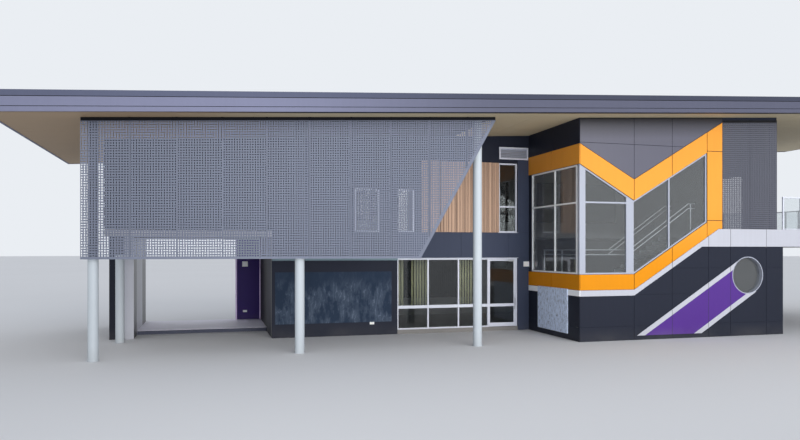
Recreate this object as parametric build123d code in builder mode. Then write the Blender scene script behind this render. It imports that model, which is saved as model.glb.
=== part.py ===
"""School building of two storeys under one long skillion roof.

Millimetres, +Z up, +X along the front to the right, the front faces -Y.
The origin is under the middle of the roof at the lowest ground level.
"""
from build123d import *
import os
from math import atan, cos, radians, sin, tan

os.makedirs("parts", exist_ok=True)

# Overall sizes
roof_length = 39260
roof_depth = 12060
roof_pitch = 3.0
roof_edge_height = 610
side_eave = 2365
soffit_height_at_left = 7033
ground_drop = 160
storey = 3930
floor_thickness = 230
wall = 250
skin = 20

# Distances back from the front edge of the roof
screen_setback = 882
bay_setback = 1027
column_setback = 1173
recess_setback = 5160
block_depth = 6200

# Distances along the front from the left end of the roof
end_wall_offset = 2443
passage_lining_offset = 2976
passage_left_offset = 3306
passage_right_offset = 8340
glazing_offset = 13294
bay_offset = 19054
bay_width = 9115

# Roof build-up
fascia_thickness = 70
capping_height = 175
groove_height = 14
groove_depth = 30
fascia_panel_height = 270
fine_groove_height = 8
soffit_thickness = 25
soffit_recess = 15
sheet_thickness = 40
sheet_drop = 90
rib_height = 35
rib_width = 45
rib_pitch = 700

# Round columns
column_diameter = 310
column_spacing = 6215
first_column_inset = 311
corner_column_inset = 494
corner_column_gap = 45
deck_bay = 4363

# Perforated screen on the front
screen_bottom = 2920
screen_length_below = 10574
screen_length_above = 13314
screen_gap = 125
screen_thickness = 40
panel_pitch = 1364
panel_joint = 8
screen_rail = 60
hanger_width = 50
head_beam = 130

# Classroom glazing and its door
glazing_width = 5246
glazing_height = 2861
pane_count = 4
frame_width = 60
frame_depth = 110
mid_rail_height = 902
mid_rail_width = 120
glass_thickness = 24
door_gap = 6
door_foot_gap = 10
door_thickness = 50
door_stile = 50
lock_stile = 90
door_kick_rail = 160
hinge_radius = 9
hinge_stand_off = 10
hinge_knuckle = 40
hinge_play = 0.3
hinge_heights = (300, 1400, 2500)
handle_height = 1030
handle_length = 300
handle_radius = 14
handle_reach = 55

# Wall pieces on the recessed front
chalkboard_bottom = 359
chalkboard_top = 2347
chalkboard_inset = 118
head_strip_bottom = 2790
head_strip_height = 140
timber_offset = 14310
timber_top = 6830
timber_thickness = 30
upper_window_offset = 17696
upper_window_width = 834
upper_transom = 4980
screened_windows = ((11560, 1000), (13310, 710))
screened_window_height = 1700
vent_bottom = 6990
vent_height = 510
vent_slats = 6

# Lights and sockets on the walls: place along the roof, foot, width and height of each
recess_light = (18797, 2510, 240, 200)
passage_light = (7516, 2440, 240, 230)
passage_socket = (7550, 340, 170, 80)
court_socket = (12163, 262, 170, 85)
fitting_depth = 60
socket_depth = 14

# Stair bay, seen from the front, from its left corner
fold_offset = 2269
leg_left_offset = 5500
leg_right_offset = 6206
stair_rise = 0.61
upper_rise = 0.589
low_band_bottom = 1718
low_band_top = 2305
white_strip = 215
high_band_corner_top = 7100
high_band_corner_bottom = 6340
high_band_fold_top = 5843
high_band_fold_bottom = 5043
slab_edge_bottom = 3333
slab_edge_top = 4015
corner_post_front = 244
fold_post = 320
bay_transom = 4950
bay_mullion_offset = 3806
return_pier = 234
return_mullion_offset = 1953
bay_screen_width = 2599
round_window_offset = 7396
round_window_height = 2210
round_window_radius = 730
round_ring = 32
round_reveal = 150
diagonal_offset = 2383
diagonal_edge = 346
diagonal_width = 2169
board_start = 843
board_width = 2360
board_bottom = 60
board_height = 1680
board_thickness = 45

# Stair inside the bay
going = 293
lower_risers = 12
upper_risers = 10
flight_width = 1450
tread_thickness = 50
stringer_width = 60
stringer_depth = 260
landing_thickness = 200
landing_beam = 150
rail_radius = 22
rail_height = 1060
well = 200
second_rail_drop = 180

# Open deck on the right
deck_beam = 250
balustrade_height = 1400
balustrade_post = 50
guard_foot = 100
guard_pane = 12
balustrade_bay = 870

# Passage, back and right walls
passage_wall_start = 1200
purple_wall_width = 1116
purple_wall_thickness = 200
doorway_width = 1500
doorway_height = 2400
back_window_width = 1000
back_window_height = 1700
back_window_count = 8
passage_floor_start = 2500

slope = tan(radians(roof_pitch))
riser = storey / (lower_risers + upper_risers)
floor = ground_drop
upper = floor + storey
ceiling = upper - floor_thickness
roof_left = -roof_length / 2
roof_right = roof_length / 2
roof_front = -roof_depth / 2
roof_back = roof_depth / 2
recess = roof_front + recess_setback
block_back = recess + block_depth
screen_left = roof_left + side_eave
screen_front = roof_front + screen_setback
column_line = roof_front + column_setback
end_wall_left = roof_left + end_wall_offset
lining_left = roof_left + passage_lining_offset
passage_left = roof_left + passage_left_offset
passage_right = roof_left + passage_right_offset
glazing_left = roof_left + glazing_offset
glazing_right = glazing_left + glazing_width
bay_left = roof_left + bay_offset
bay_right = bay_left + bay_width
bay_front = roof_front + bay_setback
bay_wall = bay_front + skin
deck_right = roof_right - side_eave
fold = bay_left + fold_offset
leg_left = bay_left + leg_left_offset
leg_right = bay_left + leg_right_offset
upper_right = leg_right + bay_screen_width


def soffit(x):
    """Height of the sloping ceiling under the roof at x."""
    return floor + soffit_height_at_left + slope * (x - roof_left)


def front_plane(y):
    """Upright plane at y that looks to the front, with x right and z up."""
    return Plane(origin=(0, y, 0), x_dir=(1, 0, 0), z_dir=(0, -1, 0))


def side_plane(x):
    """Upright plane at x that looks to the right, with y right and z up."""
    return Plane(origin=(x, 0, 0), x_dir=(0, 1, 0), z_dir=(1, 0, 0))


def rect(a0, a1, b0, b1):
    """Corners of a rectangle between two values each way."""
    return [(a0, b0), (a1, b0), (a1, b1), (a0, b1)]


def outline(points, plane):
    """Closed face through the points on a plane."""
    with BuildSketch(plane) as face:
        with BuildLine():
            Polyline(points, close=True)
        make_face()
    return face.sketch


def upright(points, front, depth, mode=Mode.ADD):
    """Piece with an (x, z) outline that runs from front to front + depth."""
    extrude(outline(points, front_plane(front + depth)), amount=depth, mode=mode)


def sideways(points, left, width, mode=Mode.ADD):
    """Piece with a (y, z) outline that runs from left to left + width."""
    extrude(outline(points, side_plane(left)), amount=width, mode=mode)


def level(points, bottom, height, mode=Mode.ADD):
    """Piece with an (x, y) outline that runs up from bottom."""
    extrude(outline(points, Plane.XY.offset(bottom)), amount=height, mode=mode)


def under_soffit(x0, x1, bottom):
    """Outline of a wall from bottom to the sloping ceiling."""
    return [(x0, bottom), (x1, bottom), (x1, soffit(x1)), (x0, soffit(x0))]


def trim_to_soffit(x0, x1, front, depth):
    """Cut away what stands above the sloping ceiling."""
    high = soffit(x1) + storey
    outline_above = [(x0, soffit(x0)), (x1, soffit(x1)), (x1, high), (x0, high)]
    upright(outline_above, front, depth, Mode.SUBTRACT)


def save(builder, name):
    """Label a finished piece and write it."""
    builder.part.label = name
    export_step(builder.part, f"parts/{name}.step")


# Floors
inner_front = recess + wall
inner_back = block_back - wall
bay_inner_left = bay_left + wall
bay_inner_right = bay_right - wall
bay_inner_front = bay_wall + wall
ground_outline = [
    (passage_right + wall, inner_back),
    (passage_right + wall, inner_front),
    (glazing_left, inner_front),
    (glazing_left, recess),
    (glazing_right, recess),
    (glazing_right, inner_front),
    (bay_inner_left, inner_front),
    (bay_inner_left, bay_inner_front),
    (bay_inner_right, bay_inner_front),
    (bay_inner_right, inner_back),
]
passage_floor_front = recess + passage_floor_start
with BuildPart() as ground_floor:
    level(ground_outline, 0, floor)
    passage_floor = rect(passage_left, passage_right, passage_floor_front, block_back)
    level(passage_floor, 0, floor)
    purple_left = passage_right - purple_wall_width
    purple_front = block_back - purple_wall_thickness
    level(rect(purple_left, passage_right, purple_front, block_back), 0, floor, Mode.SUBTRACT)
save(ground_floor, "ground_floor")

half_landing_edge = fold
upper_flight_end = half_landing_edge + going * (upper_risers - 1)
upper_landing_left = upper_flight_end
first_outline = [
    (end_wall_left + wall, inner_back),
    (end_wall_left + wall, inner_front),
    (upper_landing_left, inner_front),
    (upper_landing_left, bay_inner_front),
    (bay_inner_right, bay_inner_front),
    (bay_inner_right, inner_back),
]
with BuildPart() as first_floor:
    level(first_outline, ceiling, floor_thickness)
    beam_plan = rect(
        upper_landing_left,
        upper_landing_left + landing_beam,
        bay_inner_front,
        inner_front,
    )
    beam_foot = upper - riser - stringer_depth
    level(beam_plan, beam_foot, ceiling - beam_foot)
save(first_floor, "first_floor")

# Recessed front, ground floor
with BuildPart() as chalk_wall:
    upright(rect(passage_right, glazing_left, 0, upper), recess, wall)
save(chalk_wall, "chalk_wall")

with BuildPart() as spandrel_wall:
    upright(rect(glazing_left, glazing_right, floor + glazing_height, upper), recess, wall)
save(spandrel_wall, "spandrel_wall")

with BuildPart() as door_side_wall:
    upright(rect(glazing_right, bay_left, 0, upper), recess, wall)
save(door_side_wall, "door_side_wall")

board_left = passage_right + chalkboard_inset
with BuildPart() as chalkboard:
    face = rect(board_left, glazing_left - wall, floor + chalkboard_bottom, floor + chalkboard_top)
    upright(face, recess - skin, skin)
save(chalkboard, "chalkboard")

with BuildPart() as head_strip:
    strip_bottom = floor + head_strip_bottom
    face = rect(passage_right, glazing_left, strip_bottom, strip_bottom + head_strip_height)
    upright(face, recess - 3 * skin, 3 * skin)
save(head_strip, "head_strip")

# Recessed front, upper floor
upper_window_left = roof_left + upper_window_offset
upper_window_right = upper_window_left + upper_window_width
upper_windows = [
    rect(upper_window_left, upper_window_right, upper, floor + timber_top),
]
for offset, width in screened_windows:
    left = roof_left + offset
    upper_windows.append(rect(left, left + width, upper, upper + screened_window_height))
vent_foot = floor + vent_bottom
vent_face = rect(upper_window_left, bay_left - 2 * skin, vent_foot, vent_foot + vent_height)

with BuildPart() as upper_front_wall:
    upright(under_soffit(end_wall_left, bay_left, upper), recess, wall)
    for window in upper_windows:
        upright(window, recess, wall, Mode.SUBTRACT)
    upright(vent_face, recess, wall, Mode.SUBTRACT)
save(upper_front_wall, "upper_front_wall")

timber_left = roof_left + timber_offset
with BuildPart() as timber_cladding:
    face = rect(timber_left, upper_window_left, upper, floor + timber_top)
    upright(face, recess - timber_thickness, timber_thickness)
save(timber_cladding, "timber_cladding")


def framed(face, front, bars=()):
    """Frame of even width inside a rectangle, with bars across it."""
    x0, x1 = face[0][0], face[1][0]
    z0, z1 = face[0][1], face[2][1]
    upright(face, front, frame_depth)
    inside = rect(x0 + frame_width, x1 - frame_width, z0 + frame_width, z1 - frame_width)
    upright(inside, front, frame_depth, Mode.SUBTRACT)
    for bar in bars:
        upright(bar, front, frame_depth)


frame_front = recess + (wall - frame_depth) / 2
glass_front = recess + (wall - glass_thickness) / 2
transom = rect(
    upper_window_left + frame_width,
    upper_window_right - frame_width,
    floor + upper_transom,
    floor + upper_transom + frame_width,
)
with BuildPart() as upper_window_frames:
    framed(upper_windows[0], frame_front, [transom])
    for window in upper_windows[1:]:
        framed(window, frame_front)
save(upper_window_frames, "upper_window_frames")

with BuildPart() as louvre_vent:
    upright(vent_face, recess - skin, wall / 2)
    inside = rect(
        vent_face[0][0] + frame_width,
        vent_face[1][0] - frame_width,
        vent_face[0][1] + frame_width,
        vent_face[2][1] - frame_width,
    )
    upright(inside, recess - skin, wall / 2, Mode.SUBTRACT)
    slat_pitch = (inside[2][1] - inside[0][1]) / vent_slats
    for index in range(vent_slats):
        foot = inside[0][1] + index * slat_pitch
        back = recess + wall / 2 - skin
        slat_top = foot + slat_pitch
        slat = [(recess, foot), (recess + skin, foot), (back, slat_top), (back - skin, slat_top)]
        sideways(slat, inside[0][0], inside[1][0] - inside[0][0])
save(louvre_vent, "louvre_vent")

# Classroom glazing and its door
pane_pitch = glazing_width / pane_count
door_left = glazing_right - pane_pitch
head = floor + glazing_height
with BuildPart() as classroom_frame:
    fixed = rect(glazing_left, door_left - frame_width / 2, floor, head)
    bars = []
    for index in range(1, pane_count - 1):
        middle = glazing_left + index * pane_pitch
        bars.append(rect(middle - frame_width / 2, middle + frame_width / 2, floor, head))
    rail = floor + mid_rail_height
    bars.append(rect(glazing_left, fixed[1][0], rail - mid_rail_width / 2, rail + mid_rail_width / 2))
    framed(fixed, frame_front)
    # The door's own jamb closes the frame on the right
    closed_by_jamb = rect(fixed[1][0] - frame_width, fixed[1][0], floor + frame_width, head - frame_width)
    upright(closed_by_jamb, frame_front, frame_depth, Mode.SUBTRACT)
    for bar in bars:
        upright(bar, frame_front, frame_depth)
save(classroom_frame, "classroom_frame")

jamb_left = door_left - frame_width / 2
leaf_left = jamb_left + frame_width + door_gap
leaf_right = glazing_right - frame_width - door_gap
leaf_bottom = floor + door_foot_gap
leaf_top = head - frame_width - door_gap
hinge_x = leaf_left - door_gap / 2
hinge_y = frame_front - hinge_stand_off


def knuckle(middle, height, reach):
    """Hinge barrel at a height with its plate reaching to one side."""
    bottom = middle - height / 2
    with BuildSketch(Plane.XY.offset(bottom)) as barrel:
        with Locations((hinge_x, hinge_y)):
            Circle(hinge_radius)
    extrude(barrel.sketch, amount=height)
    plate = rect(min(hinge_x, hinge_x + reach), max(hinge_x, hinge_x + reach), hinge_y, frame_front)
    level(plate, bottom, height)


with BuildPart() as door_frame:
    upright(rect(jamb_left, glazing_right, floor, head), frame_front, frame_depth)
    clear = rect(jamb_left + frame_width, glazing_right - frame_width, floor, head - frame_width)
    upright(clear, frame_front, frame_depth, Mode.SUBTRACT)
    for height in hinge_heights:
        offset = hinge_knuckle + hinge_play
        knuckle(floor + height - offset, hinge_knuckle, -frame_width / 2)
        knuckle(floor + height + offset, hinge_knuckle, -frame_width / 2)
save(door_frame, "door_frame")

with BuildPart() as classroom_door:
    upright(rect(leaf_left, leaf_right, leaf_bottom, leaf_top), frame_front, door_thickness)
    inner = (leaf_left + door_stile, leaf_right - lock_stile)
    rail_top = rail + mid_rail_width / 2
    rail_bottom = rail - mid_rail_width / 2
    low_pane = rect(*inner, leaf_bottom + door_kick_rail, rail_bottom)
    high_pane = rect(*inner, rail_top, leaf_top - door_stile)
    upright(low_pane, frame_front, door_thickness, Mode.SUBTRACT)
    upright(high_pane, frame_front, door_thickness, Mode.SUBTRACT)
    for height in hinge_heights:
        knuckle(floor + height, hinge_knuckle, frame_width / 2)
save(classroom_door, "classroom_door")

door_glass_front = frame_front + (door_thickness - glass_thickness) / 2
with BuildPart() as door_glass:
    upright(low_pane, door_glass_front, glass_thickness)
    upright(high_pane, door_glass_front, glass_thickness)
save(door_glass, "door_glass")

handle_x = leaf_right - lock_stile / 2
handle_bottom = floor + handle_height - handle_length / 2
with BuildPart() as door_handle:
    with BuildLine() as grip:
        FilletPolyline(
            (handle_x, frame_front, handle_bottom),
            (handle_x, frame_front - handle_reach, handle_bottom),
            (handle_x, frame_front - handle_reach, handle_bottom + handle_length),
            (handle_x, frame_front, handle_bottom + handle_length),
            radius=2 * handle_radius,
        )
    with BuildSketch(Plane(origin=grip.line @ 0, z_dir=grip.line % 0)):
        Circle(handle_radius)
    sweep()
save(door_handle, "door_handle")



def fitting(place, back, depth):
    """Small box on a wall, from its offset, foot, width and height."""
    offset, foot, width, height = place
    left = roof_left + offset
    upright(rect(left, left + width, floor + foot, floor + foot + height), back - depth, depth)


with BuildPart() as wall_lights:
    fitting(recess_light, recess, fitting_depth)
    fitting(passage_light, purple_front, fitting_depth)
save(wall_lights, "wall_lights")

with BuildPart() as wall_sockets:
    fitting(passage_socket, purple_front, socket_depth)
    fitting(court_socket, recess, socket_depth)
save(wall_sockets, "wall_sockets")

# Side walls of the passage and the left end
with BuildPart() as passage_right_wall:
    level(rect(passage_right, passage_right + wall, inner_front, block_back), 0, ceiling)
save(passage_right_wall, "passage_right_wall")

with BuildPart() as purple_wall:
    level(rect(purple_left, passage_right, purple_front, block_back), 0, ceiling)
save(purple_wall, "purple_wall")

with BuildPart() as left_lower_wall:
    level(rect(end_wall_left, lining_left, recess + passage_wall_start, block_back), 0, ceiling)
save(left_lower_wall, "left_lower_wall")

with BuildPart() as passage_lining:
    level(rect(lining_left, passage_left, recess + passage_wall_start, block_back), 0, ceiling)
save(passage_lining, "passage_lining")

with BuildPart() as passage_beams:
    level(rect(end_wall_left, passage_right, recess, inner_front), ceiling, floor_thickness)
    level(rect(end_wall_left, passage_right, inner_back, block_back), ceiling, floor_thickness)
    level(rect(end_wall_left, end_wall_left + wall, inner_front, inner_back), ceiling, floor_thickness)
save(passage_beams, "passage_beams")

with BuildPart() as left_upper_wall:
    upright(under_soffit(end_wall_left, end_wall_left + wall, upper), inner_front, block_back - inner_front)
save(left_upper_wall, "left_upper_wall")

# Back wall with its windows, and the right wall with the way to the deck
back_left = end_wall_left + wall
back_span = upper_right - wall - back_left
back_windows = []
for index in range(back_window_count):
    middle = back_left + (index + 0.5) * back_span / back_window_count
    span = (middle - back_window_width / 2, middle + back_window_width / 2)
    sill = upper + mid_rail_height
    back_windows.append(rect(*span, sill, sill + back_window_height))
back_glazing = rect(glazing_left, glazing_right, floor + mid_rail_height, head)
with BuildPart() as back_wall:
    step = [
        (back_left, upper),
        (passage_right, upper),
        (passage_right, ceiling),
        (passage_right + wall, ceiling),
        (passage_right + wall, 0),
        (bay_right - wall, 0),
        (bay_right - wall, upper),
        (upper_right - wall, upper),
        (upper_right - wall, soffit(upper_right - wall)),
        (back_left, soffit(back_left)),
    ]
    upright(step, inner_back, wall)
    for window in back_windows:
        upright(window, inner_back, wall, Mode.SUBTRACT)
    upright(back_glazing, inner_back, wall, Mode.SUBTRACT)
save(back_wall, "back_wall")

back_frame_front = inner_back + (wall - frame_depth) / 2
with BuildPart() as back_window_frames:
    for window in back_windows:
        framed(window, back_frame_front)
    bars = []
    for index in range(1, pane_count):
        middle = glazing_left + index * pane_pitch
        low, high = back_glazing[0][1], back_glazing[2][1]
        bars.append(rect(middle - frame_width / 2, middle + frame_width / 2, low, high))
    framed(back_glazing, back_frame_front, bars)
save(back_window_frames, "back_window_frames")

doorway_front = (bay_inner_front + inner_front - doorway_width) / 2
with BuildPart() as right_wall:
    upright(rect(bay_right - wall, bay_right, 0, upper), bay_wall, block_back - bay_wall)
    upper_face = under_soffit(upper_right - wall, upper_right, upper)
    upright(upper_face, bay_inner_front, block_back - bay_inner_front)
    doorway = rect(doorway_front, doorway_front + doorway_width, upper, upper + doorway_height)
    sideways(doorway, upper_right - wall, wall, Mode.SUBTRACT)
save(right_wall, "right_wall")

# Stair bay: front wall
window_bottom = floor + low_band_top
window_outline = [
    (bay_left, window_bottom),
    (fold, window_bottom),
    (leg_left, window_bottom + stair_rise * (leg_left - fold)),
    (leg_left, floor + high_band_fold_bottom + upper_rise * (leg_left - fold)),
    (fold, floor + high_band_fold_bottom),
    (bay_left, floor + high_band_corner_bottom),
]
screened_opening = [
    (leg_right, floor + slab_edge_top),
    (upper_right - wall, floor + slab_edge_top),
    (upper_right - wall, soffit(leg_right) - wall),
    (leg_right, soffit(leg_right) - wall),
]
round_x = bay_left + round_window_offset
round_z = floor + round_window_height
with BuildPart() as bay_front_wall:
    front_face = [
        (bay_left, 0),
        (bay_right - wall, 0),
        (bay_right - wall, upper),
        (upper_right, upper),
        (upper_right, soffit(upper_right)),
        (bay_left, soffit(bay_left)),
    ]
    upright(front_face, bay_wall, wall)
    upright(window_outline, bay_wall, wall, Mode.SUBTRACT)
    upright(screened_opening, bay_wall, wall, Mode.SUBTRACT)
    with BuildSketch(front_plane(bay_wall + wall)):
        with Locations((round_x, round_z)):
            Circle(round_window_radius)
    extrude(amount=wall, mode=Mode.SUBTRACT)
save(bay_front_wall, "bay_front_wall")

return_front = bay_wall + wall
with BuildPart() as bay_return_wall:
    upright(under_soffit(bay_left, bay_inner_left, 0), return_front, recess + wall - return_front)
    glazed = rect(
        return_front,
        recess - return_pier,
        window_bottom,
        floor + high_band_corner_bottom,
    )
    sideways(glazed, bay_left, wall, Mode.SUBTRACT)
save(bay_return_wall, "bay_return_wall")

# Stair bay: coloured cladding on the front and the left return
band_high = [
    (bay_left, floor + high_band_corner_bottom),
    (fold, floor + high_band_fold_bottom),
    (leg_left, window_outline[3][1]),
    (leg_left, window_outline[2][1]),
    (fold, window_bottom),
    (bay_left, window_bottom),
    (bay_left, floor + low_band_bottom),
    (fold, floor + low_band_bottom),
]
edge_meets_slab = fold + (slab_edge_top - low_band_bottom) / stair_rise
strip_bottom = low_band_bottom - white_strip
strip_meets_slab = fold + (slab_edge_bottom - strip_bottom) / stair_rise
leg_top = floor + high_band_fold_top + upper_rise * (leg_right - fold)
orange_outline = band_high + [
    (edge_meets_slab, floor + slab_edge_top),
    (leg_right, floor + slab_edge_top),
    (leg_right, leg_top),
    (fold, floor + high_band_fold_top),
    (bay_left, floor + high_band_corner_top),
]
with BuildPart() as orange_band:
    upright(orange_outline, bay_front, skin)
    low = rect(bay_front, recess, floor + low_band_bottom, window_bottom)
    high = rect(bay_front, recess, floor + high_band_corner_bottom, floor + high_band_corner_top)
    sideways(low, bay_left - skin, skin)
    sideways(high, bay_left - skin, skin)
save(orange_band, "orange_band")

with BuildPart() as grey_cladding:
    grey = [
        (bay_left, floor + high_band_corner_top),
        (fold, floor + high_band_fold_top),
        (leg_right, leg_top),
        (leg_right, soffit(leg_right)),
        (bay_left, soffit(bay_left)),
    ]
    upright(grey, bay_front, skin)
save(grey_cladding, "grey_cladding")

with BuildPart() as white_band:
    white = [
        (bay_left - skin, floor + strip_bottom),
        (fold, floor + strip_bottom),
        (strip_meets_slab, floor + slab_edge_bottom),
        (deck_right, floor + slab_edge_bottom),
        (deck_right, floor + slab_edge_top),
        (edge_meets_slab, floor + slab_edge_top),
        (fold, floor + low_band_bottom),
        (bay_left - skin, floor + low_band_bottom),
    ]
    upright(white, bay_front, skin)
    side = rect(bay_wall, recess, floor + strip_bottom, floor + low_band_bottom)
    sideways(side, bay_left - skin, skin)
save(white_band, "white_band")

# Diagonal band on the lower wall, cut round the window's ring
diagonal_left = bay_left + diagonal_offset


def diagonal(start, end):
    """Strip of the diagonal band between two distances along the ground.

    It stops at the line through the round window's middle, square to it.
    """
    lean_angle = atan(stair_rise)
    ends = []
    for foot in (diagonal_left + start, diagonal_left + end):
        along = (round_x - foot) * cos(lean_angle) + (round_z - floor) * sin(lean_angle)
        ends.append((foot + along * cos(lean_angle), floor + along * sin(lean_angle)))
    return [(diagonal_left + start, floor), (diagonal_left + end, floor), ends[1], ends[0]]


def clear_of_window(radius):
    """Cut away the round window from the cladding."""
    with BuildSketch(front_plane(bay_front + skin)) as disc:
        with Locations((round_x, round_z)):
            Circle(radius)
    extrude(disc.sketch, amount=skin, mode=Mode.SUBTRACT)


purple_start = diagonal_edge
purple_end = purple_start + diagonal_width
with BuildPart() as purple_band:
    upright(diagonal(purple_start, purple_end), bay_front, skin)
    clear_of_window(round_window_radius)
save(purple_band, "purple_band")

with BuildPart() as purple_band_edges:
    upright(diagonal(0, purple_start), bay_front, skin)
    upright(diagonal(purple_end, purple_end + diagonal_edge), bay_front, skin)
    clear_of_window(round_window_radius)
save(purple_band_edges, "purple_band_edges")

with BuildPart() as round_window_ring:
    with BuildSketch(front_plane(bay_wall + wall)):
        with Locations((round_x, round_z)):
            Circle(round_window_radius)
            Circle(round_window_radius - round_ring, mode=Mode.SUBTRACT)
    extrude(amount=wall + skin)
save(round_window_ring, "round_window_ring")

# Stair bay: frames and glass
bay_frame_front = bay_wall + skin
bay_glass_front = bay_frame_front + (frame_depth - glass_thickness) / 2
post_right = bay_left + corner_post_front
fold_post_left = fold - fold_post
mullion = bay_left + bay_mullion_offset


def head_line(x):
    """Height of the bay window's head at x."""
    if x <= fold:
        drop = (high_band_corner_bottom - high_band_fold_bottom) / fold_offset
        return floor + high_band_corner_bottom - drop * (x - bay_left)
    return floor + high_band_fold_bottom + upper_rise * (x - fold)


def sill_line(x):
    """Height of the bay window's sill at x."""
    return window_bottom + stair_rise * max(0, x - fold)


def bay_pane(x0, x1, low=None, high=None):
    """Pane between two uprights, inside the frame's sloping head and sill."""
    left_low = low if low else sill_line(x0) + frame_width
    right_low = low if low else sill_line(x1) + frame_width
    left_high = high if high else head_line(x0) - frame_width
    right_high = high if high else head_line(x1) - frame_width
    return [(x0, left_low), (x1, right_low), (x1, right_high), (x0, left_high)]


half = frame_width / 2
transom_z = floor + bay_transom
bay_panes = [
    bay_pane(post_right, fold_post_left, high=transom_z - half),
    bay_pane(post_right, fold_post_left, low=transom_z + half),
    bay_pane(fold, mullion - half),
    bay_pane(mullion + half, leg_left - frame_width),
]
with BuildPart() as bay_front_frame:
    upright(window_outline, bay_frame_front, frame_depth)
    for pane in bay_panes:
        upright(pane, bay_frame_front, frame_depth, Mode.SUBTRACT)
save(bay_front_frame, "bay_front_frame")

return_middle = bay_front + return_mullion_offset
return_end = recess - return_pier
window_top = floor + high_band_corner_bottom
return_panes = []
for y0, y1 in (
    (return_front + frame_width, return_middle - half),
    (return_middle + half, return_end - frame_width),
):
    return_panes.append(rect(y0, y1, window_bottom + frame_width, transom_z - half))
    return_panes.append(rect(y0, y1, transom_z + half, window_top - frame_width))
frame_left = bay_left + skin
with BuildPart() as bay_return_frame:
    glazed = rect(return_front, return_end, window_bottom, window_top)
    sideways(glazed, frame_left, frame_depth)
    for pane in return_panes:
        sideways(pane, frame_left, frame_depth, Mode.SUBTRACT)
save(bay_return_frame, "bay_return_frame")

with BuildPart() as bay_glass:
    for pane in bay_panes:
        upright(pane, bay_glass_front, glass_thickness)
    for pane in return_panes:
        sideways(pane, frame_left + (frame_depth - glass_thickness) / 2, glass_thickness)
    with BuildSketch(front_plane(bay_front + round_reveal + glass_thickness)):
        with Locations((round_x, round_z)):
            Circle(round_window_radius - round_ring)
    extrude(amount=glass_thickness)
save(bay_glass, "bay_glass")

bay_screen_top = soffit(leg_right) - screen_gap
with BuildPart() as bay_screen:
    face = [
        (leg_right, floor + slab_edge_top),
        (upper_right, floor + slab_edge_top),
        (upper_right, soffit(upper_right) - screen_gap),
        (leg_right, bay_screen_top),
    ]
    upright(face, bay_front, skin)
save(bay_screen, "bay_screen")

with BuildPart() as notice_board:
    board_front = bay_front + board_start
    face = rect(
        board_front,
        board_front + board_width,
        floor + board_bottom,
        floor + board_bottom + board_height,
    )
    sideways(face, bay_left - skin - board_thickness, board_thickness)
    back = rect(board_front, board_front + board_width, floor + board_bottom, floor + strip_bottom)
    sideways(back, bay_left - skin, skin)
save(notice_board, "notice_board")

# Fixed glass of all other windows
with BuildPart() as window_glass:
    for window in upper_windows:
        x0, x1 = window[0][0] + frame_width, window[1][0] - frame_width
        z0, z1 = window[0][1] + frame_width, window[2][1] - frame_width
        if window is upper_windows[0]:
            upright(rect(x0, x1, z0, floor + upper_transom), glass_front, glass_thickness)
            z0 = floor + upper_transom + frame_width
        upright(rect(x0, x1, z0, z1), glass_front, glass_thickness)
    for index in range(pane_count - 1):
        x0 = glazing_left + index * pane_pitch + (frame_width if index == 0 else half)
        x1 = glazing_left + (index + 1) * pane_pitch - half
        if index == pane_count - 2:
            x1 = jamb_left
        upright(rect(x0, x1, floor + frame_width, rail_bottom), glass_front, glass_thickness)
        upright(rect(x0, x1, rail_top, head - frame_width), glass_front, glass_thickness)
    back_glass_front = inner_back + (wall - glass_thickness) / 2
    for window in back_windows:
        x0, x1 = window[0][0] + frame_width, window[1][0] - frame_width
        z0, z1 = window[0][1] + frame_width, window[2][1] - frame_width
        upright(rect(x0, x1, z0, z1), back_glass_front, glass_thickness)
    for index in range(pane_count):
        x0 = glazing_left + index * pane_pitch + (frame_width if index == 0 else half)
        x1 = glazing_left + (index + 1) * pane_pitch
        x1 -= frame_width if index == pane_count - 1 else half
        low, high = back_glazing[0][1] + frame_width, back_glazing[2][1] - frame_width
        upright(rect(x0, x1, low, high), back_glass_front, glass_thickness)
save(window_glass, "window_glass")

# Perforated screen, its rails and hangers
screen_foot = floor + screen_bottom
below_right = screen_left + screen_length_below
above_right = screen_left + screen_length_above


def screen_top(x):
    """Height of the screen's upper edge at x."""
    return soffit(x) - screen_gap


lean = (above_right - below_right) / (screen_top(above_right) - screen_foot)
with BuildPart() as screen_panels:
    start = screen_left
    while start < above_right - panel_joint:
        end = min(start + panel_pitch - panel_joint, above_right)
        foot = screen_foot + screen_rail
        panel = [(start, foot), (end, foot), (end, screen_top(end)), (start, screen_top(start))]
        upright(panel, screen_front, screen_thickness)
        start += panel_pitch
    beyond = [
        (below_right, screen_foot),
        (above_right + wall, screen_foot),
        (above_right + wall, screen_top(above_right) + wall),
        (above_right + lean * wall, screen_top(above_right) + wall),
    ]
    upright(beyond, screen_front, screen_thickness, Mode.SUBTRACT)
save(screen_panels, "screen_panels")

rail_back = screen_front + screen_thickness
column_front = column_line - column_diameter / 2
with BuildPart() as screen_frame:
    foot_right = below_right + lean * screen_rail
    foot_rail = [
        (screen_left, screen_foot),
        (below_right, screen_foot),
        (foot_right, screen_foot + screen_rail),
        (screen_left, screen_foot + screen_rail),
    ]
    upright(foot_rail, screen_front, column_front - screen_front)
    hanger = screen_left + panel_pitch
    while hanger < above_right:
        low = screen_foot if hanger < below_right else screen_foot + (hanger - below_right) / lean
        post = [
            (hanger - hanger_width / 2, low),
            (hanger + hanger_width / 2, low),
            (hanger + hanger_width / 2, soffit(hanger + hanger_width / 2) - head_beam),
            (hanger - hanger_width / 2, soffit(hanger - hanger_width / 2) - head_beam),
        ]
        upright(post, rail_back, column_front - rail_back)
        hanger += panel_pitch
save(screen_frame, "screen_frame")

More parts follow.
